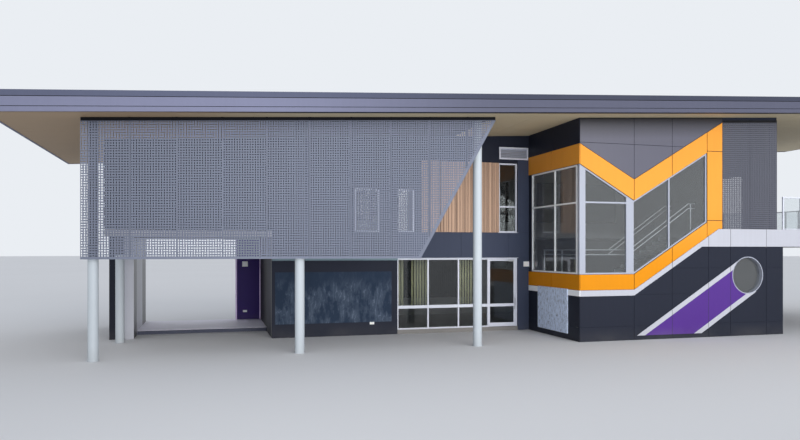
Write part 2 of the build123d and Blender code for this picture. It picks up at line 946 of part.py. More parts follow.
with BuildPart() as screen_beam:
    face = [
        (screen_left, soffit(screen_left) - head_beam),
        (above_right, soffit(above_right) - head_beam),
        (above_right, soffit(above_right)),
        (screen_left, soffit(screen_left)),
    ]
    upright(face, rail_back, column_front - rail_back)
save(screen_beam, "screen_beam")

# Round columns of the front, the passage corner and the deck
column_radius = column_diameter / 2
front_columns = [screen_left + first_column_inset + index * column_spacing for index in range(3)]
deck_slab_bottom = floor + slab_edge_bottom
deck_column_x = [bay_right + deck_bay, deck_right - column_diameter]
deck_front_line = bay_wall + column_diameter
deck_back_line = block_back - column_diameter
corner_column = (end_wall_left + corner_column_inset, recess + column_radius + corner_column_gap)
with BuildPart() as columns:
    with BuildSketch():
        with Locations(*[(x, column_line) for x in front_columns]):
            Circle(column_radius)
    extrude(amount=soffit(roof_right))
    with BuildSketch():
        with Locations(corner_column):
            Circle(column_radius)
    extrude(amount=ceiling)
    with BuildSketch():
        with Locations(*[(x, y) for x in deck_column_x for y in (deck_front_line, deck_back_line)]):
            Circle(column_radius)
    extrude(amount=deck_slab_bottom)
    with BuildSketch(Plane.XY.offset(upper)):
        with Locations(*[(x, y) for x in deck_column_x for y in (deck_front_line, deck_back_line)]):
            Circle(column_radius)
    extrude(amount=soffit(roof_right) - upper)
    trim_to_soffit(roof_left, roof_right, roof_front, roof_depth)
save(columns, "columns")

# Open deck with its balustrade
with BuildPart() as deck_slab:
    level(rect(bay_right, deck_right, bay_wall, block_back), deck_slab_bottom, upper - deck_slab_bottom)
    between_beams = rect(
        bay_right + deck_beam,
        deck_right - 2 * column_diameter,
        bay_wall + 2 * column_diameter,
        block_back - 2 * column_diameter,
    )
    level(between_beams, deck_slab_bottom, ceiling - deck_slab_bottom, Mode.SUBTRACT)
save(deck_slab, "deck_slab")

post_half = balustrade_post / 2
guard_front = bay_wall + post_half
guard_back = block_back - post_half
guard_right = deck_right - post_half
guard_top = upper + balustrade_height


def evenly(start, end, pitch):
    """Places from start to end, evenly spaced at about a pitch."""
    count = max(1, round((end - start) / pitch))
    return [start + index * (end - start) / count for index in range(count + 1)]


def guard_panel(start, end, across, along_x):
    """Straight run of balustrade: posts under one top rail."""
    places = evenly(start + post_half, end - post_half, balustrade_bay)
    with BuildSketch(Plane.XY.offset(upper)) as posts:
        with Locations(*[(a, across) if along_x else (across, a) for a in places]):
            Rectangle(balustrade_post, balustrade_post)
    extrude(posts.sketch, amount=balustrade_height)
    low, high = across - post_half, across + post_half
    plan = rect(start, end, low, high) if along_x else rect(low, high, start, end)
    level(plan, guard_top - balustrade_post, balustrade_post)
    level(plan, upper + guard_foot, balustrade_post / 2)


guard_start = guard_front + post_half + panel_joint
guard_end = guard_back - post_half - panel_joint
with BuildPart() as deck_balustrade:
    guard_panel(bay_right, deck_right, guard_front, True)
    guard_panel(bay_right, deck_right, guard_back, True)
    guard_panel(guard_start, guard_end, guard_right, False)
save(deck_balustrade, "deck_balustrade")


def guard_panes(start, end, across, along_x):
    """Panes between the posts and rails of one run of balustrade."""
    places = evenly(start + post_half, end - post_half, balustrade_bay)
    low, high = across - guard_pane / 2, across + guard_pane / 2
    foot = upper + guard_foot + balustrade_post / 2
    for before, after in zip(places[:-1], places[1:]):
        a0, a1 = before + post_half, after - post_half
        plan = rect(a0, a1, low, high) if along_x else rect(low, high, a0, a1)
        level(plan, foot, guard_top - balustrade_post - foot)


with BuildPart() as balustrade_glass:
    guard_panes(bay_right, deck_right, guard_front, True)
    guard_panes(bay_right, deck_right, guard_back, True)
    guard_panes(guard_start, guard_end, guard_right, False)
save(balustrade_glass, "balustrade_glass")

# Stair inside the bay
upper_flight_front = bay_inner_front + 60
upper_flight_back = upper_flight_front + flight_width
lower_flight_front = upper_flight_back + well
lower_flight_back = lower_flight_front + flight_width
half_level = floor + riser * lower_risers
lower_flight_start = half_landing_edge + going * (lower_risers - 1)
with BuildPart() as half_landing:
    plan = rect(bay_inner_left, half_landing_edge, bay_inner_front, lower_flight_back)
    level(plan, half_level - landing_thickness, landing_thickness)
    edge = rect(half_landing_edge - landing_beam, half_landing_edge, bay_inner_front, lower_flight_back)
    beam_foot = half_level - riser - stringer_depth
    level(edge, beam_foot, half_level - beam_foot)
save(half_landing, "half_landing")

with BuildPart() as stair_treads:
    for index in range(1, lower_risers):
        right = lower_flight_start - going * (index - 1)
        top = floor + riser * index
        plan = rect(right - going, right - 5, lower_flight_front, lower_flight_back)
        level(plan, top - tread_thickness, tread_thickness)
    for index in range(1, upper_risers):
        left = half_landing_edge + going * (index - 1)
        top = half_level + riser * index
        plan = rect(left + 5, left + going, upper_flight_front, upper_flight_back)
        level(plan, top - tread_thickness, tread_thickness)
save(stair_treads, "stair_treads")


def stringer(edge, run, foot, risers, drop, y):
    """Side plate cut to carry the treads that climb from foot, away from edge.

    Its foot stands drop below the level that the flight starts from.
    """
    teeth = [(edge, foot)]
    for index in range(1, risers):
        top = foot + riser * index - tread_thickness
        teeth += [(edge + run * (index - 1), top), (edge + run * index, top)]
    end = edge + run * (risers - 1)
    teeth.append((end, foot + riser * (risers - 1) - stringer_depth))
    teeth.append((edge + run * (stringer_depth - drop) / riser, foot - drop))
    if drop:
        teeth.append((edge, foot - drop))
    upright(teeth, y, stringer_width)


with BuildPart() as stair_stringers:
    for y in (upper_flight_front, upper_flight_back - stringer_width):
        stringer(half_landing_edge, going, half_level, upper_risers, landing_thickness, y)
    for y in (lower_flight_front, lower_flight_back - stringer_width):
        stringer(lower_flight_start, -going, floor, lower_risers, 0, y)
save(stair_stringers, "stair_stringers")


def tube(*points):
    """Round rail through the points with mitred corners."""
    with BuildLine() as path:
        Polyline(*points)
    with BuildSketch(Plane(origin=path.line @ 0, z_dir=path.line % 0)) as ring:
        Circle(rail_radius)
    sweep(ring.sketch, path=path.line, transition=Transition.RIGHT)


inner_rail = upper_flight_back - stringer_width / 2
rail_left = bay_inner_left + 80
rail_front = bay_inner_front + 80
landing_rail = half_level + rail_height
upper_rail = upper + rail_height
with BuildPart() as stair_rails:
    for drop in (0, second_rail_drop):
        low, high = landing_rail - drop, upper_rail - drop
        tube(
            (rail_left, lower_flight_back, low),
            (rail_left, rail_front, low),
            (half_landing_edge, rail_front, low),
            (upper_flight_end, rail_front, high),
            (upper_flight_end + going, rail_front, high),
        )
        tube(
            (half_landing_edge, inner_rail, low),
            (upper_flight_end, inner_rail, high),
            (upper_flight_end + going, inner_rail, high),
        )
    post_places = [
        (rail_left, lower_flight_back - 100, half_level),
        (rail_left, (rail_front + lower_flight_back) / 2, half_level),
        (rail_left, rail_front, half_level),
        (half_landing_edge - 100, rail_front, half_level),
        (upper_flight_end + 100, rail_front, upper),
        (upper_flight_end + 100, inner_rail, upper),
    ]
    for x, y, foot in post_places:
        with BuildSketch(Plane.XY.offset(foot)) as post:
            with Locations((x, y)):
                Circle(rail_radius)
        extrude(post.sketch, amount=rail_height)
save(stair_rails, "stair_rails")


# Roof
def roof_band(inset, low, high):
    """Side outline of a layer that follows the roof's slope."""
    x0 = roof_left + inset
    x1 = roof_right - inset
    return [
        (x0, soffit(x0) + low),
        (x1, soffit(x1) + low),
        (x1, soffit(x1) + high),
        (x0, soffit(x0) + high),
    ]


def roof_layer(inset, low, high, mode=Mode.ADD):
    """Layer of the roof, drawn in from all its edges by an inset."""
    upright(roof_band(inset, low, high), roof_front + inset, roof_depth - 2 * inset, mode)


edge_bottom = -soffit_recess
edge_top = edge_bottom + roof_edge_height
groove_top = edge_top - capping_height
panel_bottom = groove_top - groove_height - fascia_panel_height
grooves = (
    (groove_top - groove_height, groove_top, groove_depth),
    (panel_bottom - fine_groove_height, panel_bottom, groove_depth / 2),
)


def long_fascia(outer, inward):
    """Roof edge along the slope, with its grooves cut into the outer face."""
    front = min(outer, outer + inward * fascia_thickness)
    upright(roof_band(0, edge_bottom, edge_top), front, fascia_thickness)
    for low, high, depth in grooves:
        cut = min(outer, outer + inward * depth)
        upright(roof_band(0, low, high), cut, depth, Mode.SUBTRACT)


def end_fascia(outer, inward):
    """Roof edge across one end, between the two long ones."""
    start = roof_front + fascia_thickness
    end = roof_back - fascia_thickness
    inner = outer + inward * fascia_thickness
    x0, x1 = min(outer, inner), max(outer, inner)
    face = [
        (x0, soffit(x0) + edge_bottom),
        (x1, soffit(x1) + edge_bottom),
        (x1, soffit(x1) + edge_top),
        (x0, soffit(x0) + edge_top),
    ]
    upright(face, start, end - start)
    for low, high, depth in grooves:
        cut = min(outer, outer + inward * depth)
        slot = rect(cut, cut + depth, soffit(outer) + low, soffit(outer) + high)
        upright(slot, start, end - start, Mode.SUBTRACT)


with BuildPart() as fascia_front:
    long_fascia(roof_front, 1)
save(fascia_front, "fascia_front")

with BuildPart() as fascia_back:
    long_fascia(roof_back, -1)
save(fascia_back, "fascia_back")

with BuildPart() as fascia_left:
    end_fascia(roof_left, 1)
save(fascia_left, "fascia_left")

with BuildPart() as fascia_right:
    end_fascia(roof_right, -1)
save(fascia_right, "fascia_right")

with BuildPart() as soffit_lining:
    roof_layer(fascia_thickness, 0, soffit_thickness)
save(soffit_lining, "soffit_lining")

sheet_top = edge_top - sheet_drop
with BuildPart() as roof_sheeting:
    roof_layer(fascia_thickness, sheet_top - sheet_thickness, sheet_top)
    rib = roof_band(fascia_thickness, sheet_top, sheet_top + rib_height)
    ribs = int((roof_depth - 2 * fascia_thickness) / rib_pitch)
    for index in range(ribs):
        upright(rib, -(ribs - 1) * rib_pitch / 2 + index * rib_pitch, rib_width)
save(roof_sheeting, "roof_sheeting")
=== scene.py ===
"""School building: the finishes, screens, cladding and fittings round its CAD frame.

Metres, +Z up, +X along the front to the right, the front faces -Y.
"""

import math

import bpy
import numpy as np
from bpy.props import FloatProperty, FloatVectorProperty, IntProperty, PointerProperty
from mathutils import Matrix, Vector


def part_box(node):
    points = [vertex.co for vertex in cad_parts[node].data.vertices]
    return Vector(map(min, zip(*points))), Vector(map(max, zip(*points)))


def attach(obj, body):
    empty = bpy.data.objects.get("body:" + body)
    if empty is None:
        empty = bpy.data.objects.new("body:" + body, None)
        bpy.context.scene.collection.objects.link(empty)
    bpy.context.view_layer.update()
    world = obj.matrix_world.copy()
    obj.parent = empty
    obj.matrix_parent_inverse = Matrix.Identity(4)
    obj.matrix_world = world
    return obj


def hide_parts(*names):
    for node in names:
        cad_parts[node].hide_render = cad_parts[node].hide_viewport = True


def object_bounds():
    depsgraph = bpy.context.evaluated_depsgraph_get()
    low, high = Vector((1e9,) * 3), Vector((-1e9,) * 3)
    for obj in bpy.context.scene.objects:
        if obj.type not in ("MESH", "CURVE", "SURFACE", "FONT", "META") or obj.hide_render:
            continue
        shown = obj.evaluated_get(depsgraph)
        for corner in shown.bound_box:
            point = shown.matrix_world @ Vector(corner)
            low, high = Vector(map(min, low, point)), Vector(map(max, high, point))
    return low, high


bl_info = {
    "name": "School building looks",
    "version": (1, 0, 0),
    "blender": (4, 5, 0),
    "location": "View3D > Sidebar > School",
    "description": "Finishes, perforated screens, cladding sheets and fittings of a school building",
    "category": "Object",
}

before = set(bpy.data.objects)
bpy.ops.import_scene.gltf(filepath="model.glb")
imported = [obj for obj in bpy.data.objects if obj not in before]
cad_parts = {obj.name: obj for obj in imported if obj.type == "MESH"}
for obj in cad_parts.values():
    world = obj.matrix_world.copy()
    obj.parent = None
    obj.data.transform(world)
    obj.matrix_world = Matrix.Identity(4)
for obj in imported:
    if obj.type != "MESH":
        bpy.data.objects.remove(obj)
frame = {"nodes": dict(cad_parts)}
NODES = frame["nodes"]
BODY = "building"
DOOR = "door"
CAD_LOW, CAD_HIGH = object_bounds()

# Levels and lines that the CAD frame gives
GROUND = CAD_LOW.z
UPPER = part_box("upper_front_wall")[0].z
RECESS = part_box("chalk_wall")[0].y
BAY_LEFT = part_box("bay_return_wall")[0].x
BAY_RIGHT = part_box("right_wall")[1].x
BAY_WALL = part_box("bay_front_wall")[0].y
BAY_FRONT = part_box("bay_screen")[0].y
BLOCK_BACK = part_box("back_wall")[1].y
END_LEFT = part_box("left_upper_wall")[0].x
SOFFIT_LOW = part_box("soffit_lining")[0]
PITCH = math.radians(3.0)
SLOPE = math.tan(PITCH)
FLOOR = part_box("classroom_frame")[0].z

# Folds, joints and levels of the stair bay
FOLD = BAY_LEFT + 2.269
LEG_LEFT = BAY_LEFT + 5.500
LEG_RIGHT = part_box("orange_band")[1].x
LOW_RISE = 0.610
HIGH_RISE = 0.589
BAY_JOINTS = (FOLD, 3.351, 4.990, 6.008, 7.715)
LOW_JOINT = FLOOR + 0.364
STRIP_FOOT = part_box("white_band")[0].z
BAND_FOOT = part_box("orange_band")[0].z
WINDOW_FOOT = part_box("bay_front_frame")[0].z
CORNER_TOP = FLOOR + 7.100
CORNER_FOOT = FLOOR + 6.340
FOLD_TOP = FLOOR + 5.843
FOLD_FOOT = FLOOR + 5.043
SLAB_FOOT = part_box("deck_slab")[0].z
SLAB_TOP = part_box("white_band")[1].z

# Distance between the seams of the long screen
SEAM = 1.364

# How far cladding sheets run on behind the bands
LAP = 0.1

# Height of the groove under the roof edge's capping, where x is 0
CAPPING_LINE = FLOOR + 7.453 - SLOPE * CAD_LOW.x


def soffit(x):
    """Height of the sloping ceiling under the roof at x."""
    return SOFFIT_LOW.z + SLOPE * (x - SOFFIT_LOW.x)


def screen_top(x):
    """Height of the perforated screens' upper edge at x."""
    return soffit(x) - 0.125


def linear(red, green, blue):
    """Screen colour of 0 to 255 as the linear one that Blender works in."""
    share = np.array([red, green, blue]) / 255
    return tuple(np.where(share <= 0.04045, share / 12.92, ((share + 0.055) / 1.055) ** 2.4).tolist())


def opaque(red, green, blue):
    """Screen colour of 0 to 255 as a socket takes it."""
    return (*linear(red, green, blue), 1.0)


def size_property(name, text, metres):
    """Length that a user may change."""
    return FloatProperty(name=name, description=text, default=metres, min=0.0, unit="LENGTH")


def colour_property(name, text, *rgb):
    """Colour that a user may change."""
    return FloatVectorProperty(
        name=name, description=text, default=linear(*rgb), size=3, min=0, max=1, subtype="COLOR"
    )


class SchoolSizes(bpy.types.PropertyGroup):
    """Sizes of the pieces that are made here."""

    slot_pitch: size_property("Slot pitch", "Distance between the screens' slots", 0.080)
    slot_long: size_property("Slot length", "Longer side of a slot", 0.060)
    slot_short: size_property("Slot width", "Shorter side of a slot", 0.030)
    screen_margin: size_property("Screen margin", "Folded edge round a screen panel", 0.012)
    screen_metal: size_property("Screen metal", "Thickness of the perforated metal", 0.004)
    sheet_gap: size_property("Sheet gap", "Open joint between cladding sheets", 0.014)
    sheet_metal: size_property("Sheet thickness", "How far cladding sheets stand proud", 0.012)
    board_width: size_property("Board width", "Width of the wider timber boards", 0.135)
    board_gap: size_property("Board gap", "Open joint between timber boards", 0.018)
    blind_width: size_property("Blind width", "Width of one slat of the upright blinds", 0.127)
    bay_slots: FloatProperty(
        name="Bay slots", description="Size of the stair bay's slots beside the long screen's", default=0.68
    )
    screen_border: size_property("Screen border", "Plain strip along the slanted edge", 0.110)
    slot_seed: IntProperty(name="Slot seed", description="Draw of the slots' directions", default=7)


class SchoolColours(bpy.types.PropertyGroup):
    """Colours of the finishes."""

    charcoal: colour_property("Charcoal", "Dark wall sheets", 32, 36, 49)
    slate: colour_property("Slate", "Blue grey sheets of the recessed wall", 57, 64, 83)
    grey: colour_property("Grey", "Sheets above the stair window", 82, 82, 97)
    orange: colour_property("Orange", "Folded band round the stair window", 212, 134, 4)
    # Lighter orange that the folded band goes over to upwards: a painted sheen of the sky.
    orange_painted_sheen: colour_property("Light orange", "Upper part of the folded band", 226, 152, 57)
    purple: colour_property("Purple", "Diagonal band", 69, 17, 125)
    # Darker copy of the purple for the wall in the passage's shade: painted shade.
    purple_painted_shade: colour_property("Deep purple", "Wall in the passage", 38, 14, 92)
    white: colour_property("White", "Bands and strips", 178, 180, 190)
    # Lighter copy of the white for the bay's left side, which lies in shade: painted light.
    side_white_painted_light: colour_property("Side white", "Strip and frames on the bay's left side", 250, 252, 255)
    # Darker copy of the frame paint for the bay's lit front: painted shade.
    frame: colour_property("Frame", "Window and door frames", 205, 209, 222)
    bay_frame_painted_shade: colour_property("Bay frame", "Frames on the bay's front", 159, 164, 178)
    blind: colour_property("Blind", "Upright slats behind the classroom glazing", 238, 232, 186)
    timber: colour_property("Timber", "Upright boards", 174, 144, 123)
    soffit: colour_property("Soffit", "Lining under the roof", 196, 182, 152)
    # Browner copy of the soffit for the roof's left end: painted shade.
    soffit_painted_shade: colour_property("Soffit shade", "Lining under the roof's left end", 171, 145, 116)
    fascia: colour_property("Fascia", "Roof edge", 120, 123, 148)
    capping: colour_property("Capping", "Upper strip of the roof edge", 86, 91, 114)
    screen: colour_property("Screen", "Perforated metal", 108, 114, 131)
    concrete: colour_property("Concrete", "Floors and slabs", 158, 156, 156)
    column: colour_property("Column", "Round columns", 182, 190, 197)
    plaster: colour_property("Plaster", "Walls and ceilings inside", 128, 128, 128)
    gasket: colour_property("Gasket", "Rubber strips and shadow lines", 22, 23, 27)
    bay_metal: colour_property("Bay metal", "Perforated metal of the stair bay", 88, 90, 101)
    head_strip: colour_property("Head strip", "Strip over the chalkboard wall", 112, 132, 142)
    back_blind: colour_property("Back blind", "Closed slats behind the back windows", 14, 14, 16)
    lilac: colour_property("Lilac", "Edges of the purple wall", 224, 204, 244)
    backdrop: colour_property("Backdrop", "What is seen beyond the floor", 234, 238, 243)


def sizes():
    """Sizes that the user may change."""
    return bpy.context.scene.school_sizes


def colour(name):
    """Colour of a finish with its alpha, as a socket takes it."""
    return (*getattr(bpy.context.scene.school_colours, name), 1.0)


BLACK = (0, 0, 0, 1)

# Shader pieces


def feed(tree, made, inputs):
    """Set each of a node's inputs to a value, or join it to an output."""
    for key, value in inputs.items():
        if isinstance(value, bpy.types.NodeSocket):
            tree.links.new(value, made.inputs[key])
        else:
            made.inputs[key].default_value = value


def node(tree, kind, inputs=None, **settings):
    """Node with its settings and its inputs."""
    made = tree.nodes.new(kind)
    for key, value in settings.items():
        setattr(made, key, value)
    feed(tree, made, inputs or {})
    return made


def maths(tree, operation, *values):
    """Output of a Math node."""
    return node(tree, "ShaderNodeMath", dict(enumerate(values)), operation=operation).outputs[0]


def ramp(tree, value, low, high, start=0.0, end=1.0, smooth=False):
    """Value carried from one range to another, and held at its ends."""
    made = node(
        tree,
        "ShaderNodeMapRange",
        {"Value": value, "From Min": low, "From Max": high, "To Min": start, "To Max": end},
        interpolation_type="SMOOTHSTEP" if smooth else "LINEAR",
    )
    return made.outputs["Result"]


def mixed(tree, share, one, other):
    """Colour between two others."""
    return node(tree, "ShaderNodeMix", {0: share, 6: one, 7: other}, data_type="RGBA").outputs[2]


def places(tree, scale=(1, 1, 1)):
    """Object coordinates, stretched."""
    coordinates = node(tree, "ShaderNodeTexCoord").outputs["Object"]
    return node(tree, "ShaderNodeMapping", {"Vector": coordinates, "Scale": scale}).outputs[0]


def height_of(tree):
    """Height of a place."""
    return node(tree, "ShaderNodeSeparateXYZ", {0: places(tree)}).outputs[2]


def distance_along(tree, arrow):
    """Distance of a place along an arrow."""
    vectors = {0: places(tree), 1: arrow}
    return node(tree, "ShaderNodeVectorMath", vectors, operation="DOT_PRODUCT").outputs["Value"]


def scaled(tree, tone, amount):
    """Colour times a value."""
    return node(tree, "ShaderNodeVectorMath", {0: tone, "Scale": amount}, operation="SCALE").outputs[0]


def raised(tree, height, strength, depth):
    """Normal of a surface that a height raises."""
    inputs = {"Height": height, "Strength": strength, "Distance": depth}
    return node(tree, "ShaderNodeBump", inputs).outputs[0]


def noise(tree, vector, scale, detail=3.0, roughness=0.5):
    """Grey noise from 0 to 1."""
    made = node(
        tree,
        "ShaderNodeTexNoise",
        {"Vector": vector, "Scale": scale, "Detail": detail, "Roughness": roughness},
    )
    return made.outputs["Fac"]


def shader_group(name, inputs, outputs, build):
    """Node group with named sockets, made once."""
    if name in bpy.data.node_groups:
        return bpy.data.node_groups[name]
    tree = bpy.data.node_groups.new(name, "ShaderNodeTree")
    for label, kind, default in inputs:
        socket = tree.interface.new_socket(label, in_out="INPUT", socket_type=kind)
        socket.default_value = default
    for label, kind in outputs:
        tree.interface.new_socket(label, in_out="OUTPUT", socket_type=kind)
    way_in = tree.nodes.new("NodeGroupInput")
    way_out = tree.nodes.new("NodeGroupOutput")
    for label, socket in build(tree, way_in.outputs).items():
        tree.links.new(socket, way_out.inputs[label])
    return tree


NUMBER, PAINT, ARROW = "NodeSocketFloat", "NodeSocketColor", "NodeSocketVector"


def weathering():
    """Soft patches, rain streaks, dust at the foot and a fine grain."""

    def build(tree, given):
        patches = noise(tree, places(tree), given["Patch Scale"], 4.0, 0.6)
        streaks = noise(tree, places(tree, (5.0, 5.0, 0.22)), 1.6, 3.0, 0.55)
        grain = noise(tree, places(tree), given["Grain Scale"], 2.0, 0.7)
        lift, run, speck = (
            maths(tree, "MULTIPLY", maths(tree, "SUBTRACT", value, 0.5), given[amount])
            for value, amount in ((patches, "Patches"), (streaks, "Streaks"), (grain, "Grain"))
        )
        total = maths(tree, "ADD", maths(tree, "ADD", lift, run), maths(tree, "ADD", speck, 1.0))
        foot = ramp(tree, height_of(tree), GROUND, GROUND + 0.55, 1.0, 0.0, True)
        ragged = maths(tree, "MULTIPLY", foot, ramp(tree, patches, 0.3, 0.7))
        dust = maths(tree, "MULTIPLY", ragged, given["Dust"])
        rough = maths(tree, "ADD", given["Roughness"], maths(tree, "MULTIPLY", lift, 0.6))
        rough = maths(tree, "ADD", rough, maths(tree, "MULTIPLY", dust, 0.3))
        return {
            "Color": mixed(tree, dust, scaled(tree, given["Color"], total), opaque(128, 124, 118)),
            "Roughness": rough,
            "Height": grain,
        }

    return shader_group(
        "Weathering",
        [
            ("Color", PAINT, (0.5, 0.5, 0.5, 1)),
            ("Roughness", NUMBER, 0.5),
            ("Patch Scale", NUMBER, 0.8),
            ("Patches", NUMBER, 0.15),
            ("Streaks", NUMBER, 0.1),
            ("Grain Scale", NUMBER, 60.0),
            ("Grain", NUMBER, 0.05),
            ("Dust", NUMBER, 0.3),
        ],
        [("Color", PAINT), ("Roughness", NUMBER), ("Height", NUMBER)],
        build,
    )


def wood_grain():
    """Upright timber: each board its own tone, with long grain and darker pores."""

    def build(tree, given):
        where = node(tree, "ShaderNodeSeparateXYZ", {0: places(tree)})
        board = maths(tree, "FLOOR", maths(tree, "DIVIDE", where.outputs[0], given["Board"]))
        own = node(tree, "ShaderNodeTexWhiteNoise", {"W": board}, noise_dimensions="1D").outputs[0]
        shift = node(tree, "ShaderNodeCombineXYZ", {2: maths(tree, "MULTIPLY", own, 37.0)}).outputs[0]
        moved = node(tree, "ShaderNodeVectorMath", {0: places(tree, (26, 26, 0.9)), 1: shift}).outputs[0]
        figure = noise(tree, moved, 1.5, 6.0, 0.62)
        pores = ramp(tree, noise(tree, moved, 9.0, 3.0, 0.6), 0.56, 0.72)
        tone = maths(tree, "ADD", maths(tree, "MULTIPLY", own, 0.42), 0.74)
        tone = maths(tree, "ADD", tone, maths(tree, "MULTIPLY", figure, 0.24))
        tone = maths(tree, "SUBTRACT", tone, maths(tree, "MULTIPLY", pores, 0.14))
        return {
            "Color": scaled(tree, given["Color"], tone),
            "Roughness": ramp(tree, figure, 0.2, 0.8, 0.5, 0.68),
            "Height": maths(tree, "SUBTRACT", figure, maths(tree, "MULTIPLY", pores, 0.5)),
        }

    return shader_group(
        "Wood grain",
        [("Color", PAINT, (0.5, 0.3, 0.2, 1)), ("Board", NUMBER, 0.135)],
        [("Color", PAINT), ("Roughness", NUMBER), ("Height", NUMBER)],
        build,
    )


def far_side():
    """Mask of what lies further along an arrow than a distance."""

    def build(tree, given):
        along = distance_along(tree, given["Arrow"])
        return {"Mask": maths(tree, "GREATER_THAN", along, given["Distance"])}

    return shader_group(
        "Far side",
        [("Arrow", ARROW, (0, 1, 0)), ("Distance", NUMBER, 0.0)],
        [("Mask", NUMBER)],
        build,
    )


def marks():
    """Smears and scribbles of chalk or rubbed print, as a mask."""

    def build(tree, given):
        cloud = ramp(tree, noise(tree, places(tree, (1.8, 1.8, 0.9)), given["Size"], 5.0, 0.65), 0.44, 0.8)
        bent = node(
            tree,
            "ShaderNodeTexWave",
            {
                "Vector": places(tree, (1.3, 1.3, 0.8)),
                "Scale": given["Size"],
                "Distortion": 14.0,
                "Detail": 3.0,
                "Detail Scale": 1.4,
            },
        ).outputs["Fac"]
        strokes = ramp(tree, bent, 0.86, 0.99)
        drawn = maths(tree, "MULTIPLY", maths(tree, "MULTIPLY", strokes, cloud), given["Strokes"])
        both = maths(tree, "ADD", drawn, maths(tree, "MULTIPLY", cloud, 0.4))
        return {"Mask": maths(tree, "MULTIPLY", both, given["Strength"])}

    return shader_group(
        "Marks",
        [("Size", NUMBER, 1.4), ("Strength", NUMBER, 0.4), ("Strokes", NUMBER, 1.0)],
        [("Mask", NUMBER)],
        build,
    )


def placed(tree, group, inputs):
    """Group set into a tree with its own values."""
    return node(tree, "ShaderNodeGroup", inputs, node_tree=group).outputs


def new_material(name):
    """Material with a cleared tree, an output and a Principled shader."""
    material = bpy.data.materials.new(name)
    material.use_nodes = True
    tree = material.node_tree
    tree.nodes.clear()
    surface = tree.nodes.new("ShaderNodeBsdfPrincipled")
    out = tree.nodes.new("ShaderNodeOutputMaterial")
    tree.links.new(surface.outputs[0], out.inputs["Surface"])
    return material, tree, surface


def finish_with(tree, surface, made, depth):
    """Join a group's colour, roughness and height to the shader."""
    normal = raised(tree, made["Height"], 0.5, depth)
    feed(tree, surface, {"Base Color": made["Color"], "Roughness": made["Roughness"], "Normal": normal})


# Painted and cast finishes: colour, roughness, patches, streaks, grain, grain scale, dust,
# metallic, coat, specular level and depth of the bump
PLAIN = {
    "charcoal sheet": ("charcoal", 0.5, 0.20, 0.14, 0.10, 90, 0.12, 0.0, 0.0, 0.18, 0.001),
    "slate sheet": ("slate", 0.5, 0.16, 0.12, 0.08, 90, 0.12, 0.0, 0.0, 0.2, 0.001),
    # The passage's purple wall takes the darker copy of the purple: painted shade.
    "purple paint": ("purple_painted_shade", 0.5, 0.14, 0.08, 0.04, 90, 0.2, 0.0, 0.1, 0.25, 0.001),
    "grey sheet": ("grey", 0.38, 0.12, 0.10, 0.06, 90, 0.0, 0.0, 0.2, 0.5, 0.001),
    "orange sheet": ("orange", 0.5, 0.10, 0.08, 0.03, 90, 0.0, 0.0, 0.0, 0.2, 0.001),
    "purple sheet": ("purple", 0.36, 0.16, 0.08, 0.04, 90, 0.2, 0.0, 0.25, 0.5, 0.001),
    "white sheet": ("white", 0.40, 0.08, 0.10, 0.03, 90, 0.25, 0.0, 0.2, 0.5, 0.001),
    "frame paint": ("frame", 0.32, 0.06, 0.05, 0.03, 140, 0.2, 0.0, 0.3, 0.5, 0.0005),
    # The bay's left side frames take the lighter copy of the white: painted light.
    "return frame": ("side_white_painted_light", 0.32, 0.06, 0.05, 0.03, 140, 0.2, 0.0, 0.3, 0.5, 0.0005),
    # The bay's front frames take the darker copy of the frame paint: painted shade.
    "bay frame": ("bay_frame_painted_shade", 0.32, 0.06, 0.05, 0.03, 140, 0.2, 0.0, 0.3, 0.5, 0.0005),
    "blind slat": ("blind", 0.7, 0.05, 0.10, 0.10, 240, 0.0, 0.0, 0.0, 0.3, 0.0008),
    "black gasket": ("gasket", 0.6, 0.1, 0.0, 0.05, 90, 0.0, 0.0, 0.0, 0.1, 0.0005),
    "soffit sheet": ("soffit", 0.62, 0.12, 0.03, 0.06, 60, 0.0, 0.0, 0.0, 0.3, 0.001),
    "fascia metal": ("fascia", 0.55, 0.10, 0.08, 0.03, 120, 0.0, 0.05, 0.0, 0.25, 0.0008),
    "screen metal": ("screen", 0.44, 0.12, 0.16, 0.05, 60, 0.0, 0.35, 0.0, 0.4, 0.0008),
    "bay screen metal": ("bay_metal", 0.44, 0.12, 0.16, 0.05, 60, 0.0, 0.35, 0.0, 0.4, 0.0008),
    "cast concrete": ("concrete", 0.78, 0.26, 0.10, 0.16, 26, 0.2, 0.0, 0.0, 0.3, 0.004),
    "column paint": ("column", 0.48, 0.10, 0.12, 0.04, 60, 0.25, 0.0, 0.1, 0.5, 0.001),
    "plaster": ("plaster", 0.72, 0.06, 0.0, 0.04, 70, 0.0, 0.0, 0.0, 0.2, 0.001),
    "head strip paint": ("head_strip", 0.5, 0.10, 0.08, 0.04, 90, 0.0, 0.0, 0.0, 0.3, 0.001),
    "back blind": ("back_blind", 0.8, 0.05, 0.10, 0.10, 240, 0.0, 0.0, 0.0, 0.1, 0.0008),
    "lilac edge": ("lilac", 0.5, 0.06, 0.05, 0.03, 90, 0.1, 0.0, 0.0, 0.3, 0.0005),
}


def region_mask(tree, regions):
    """Mask of one or more regions, each the overlap of what lies beyond its lines."""
    total = None
    for lines in regions:
        overlap = None
        for arrow, distance in lines:
            mask = placed(tree, far_side(), {"Arrow": arrow, "Distance": distance})["Mask"]
            overlap = mask if overlap is None else maths(tree, "MULTIPLY", overlap, mask)
        total = overlap if total is None else maths(tree, "MAXIMUM", total, overlap)
    return total


def weathered(tree, base, rough, patches, streaks, grain, scale, dust):
    """Weathering set into a tree with its colour and amounts."""
    amounts = {"Patches": patches, "Streaks": streaks, "Grain": grain, "Grain Scale": scale, "Dust": dust}
    return placed(tree, weathering(), {"Color": base, "Roughness": rough, **amounts})


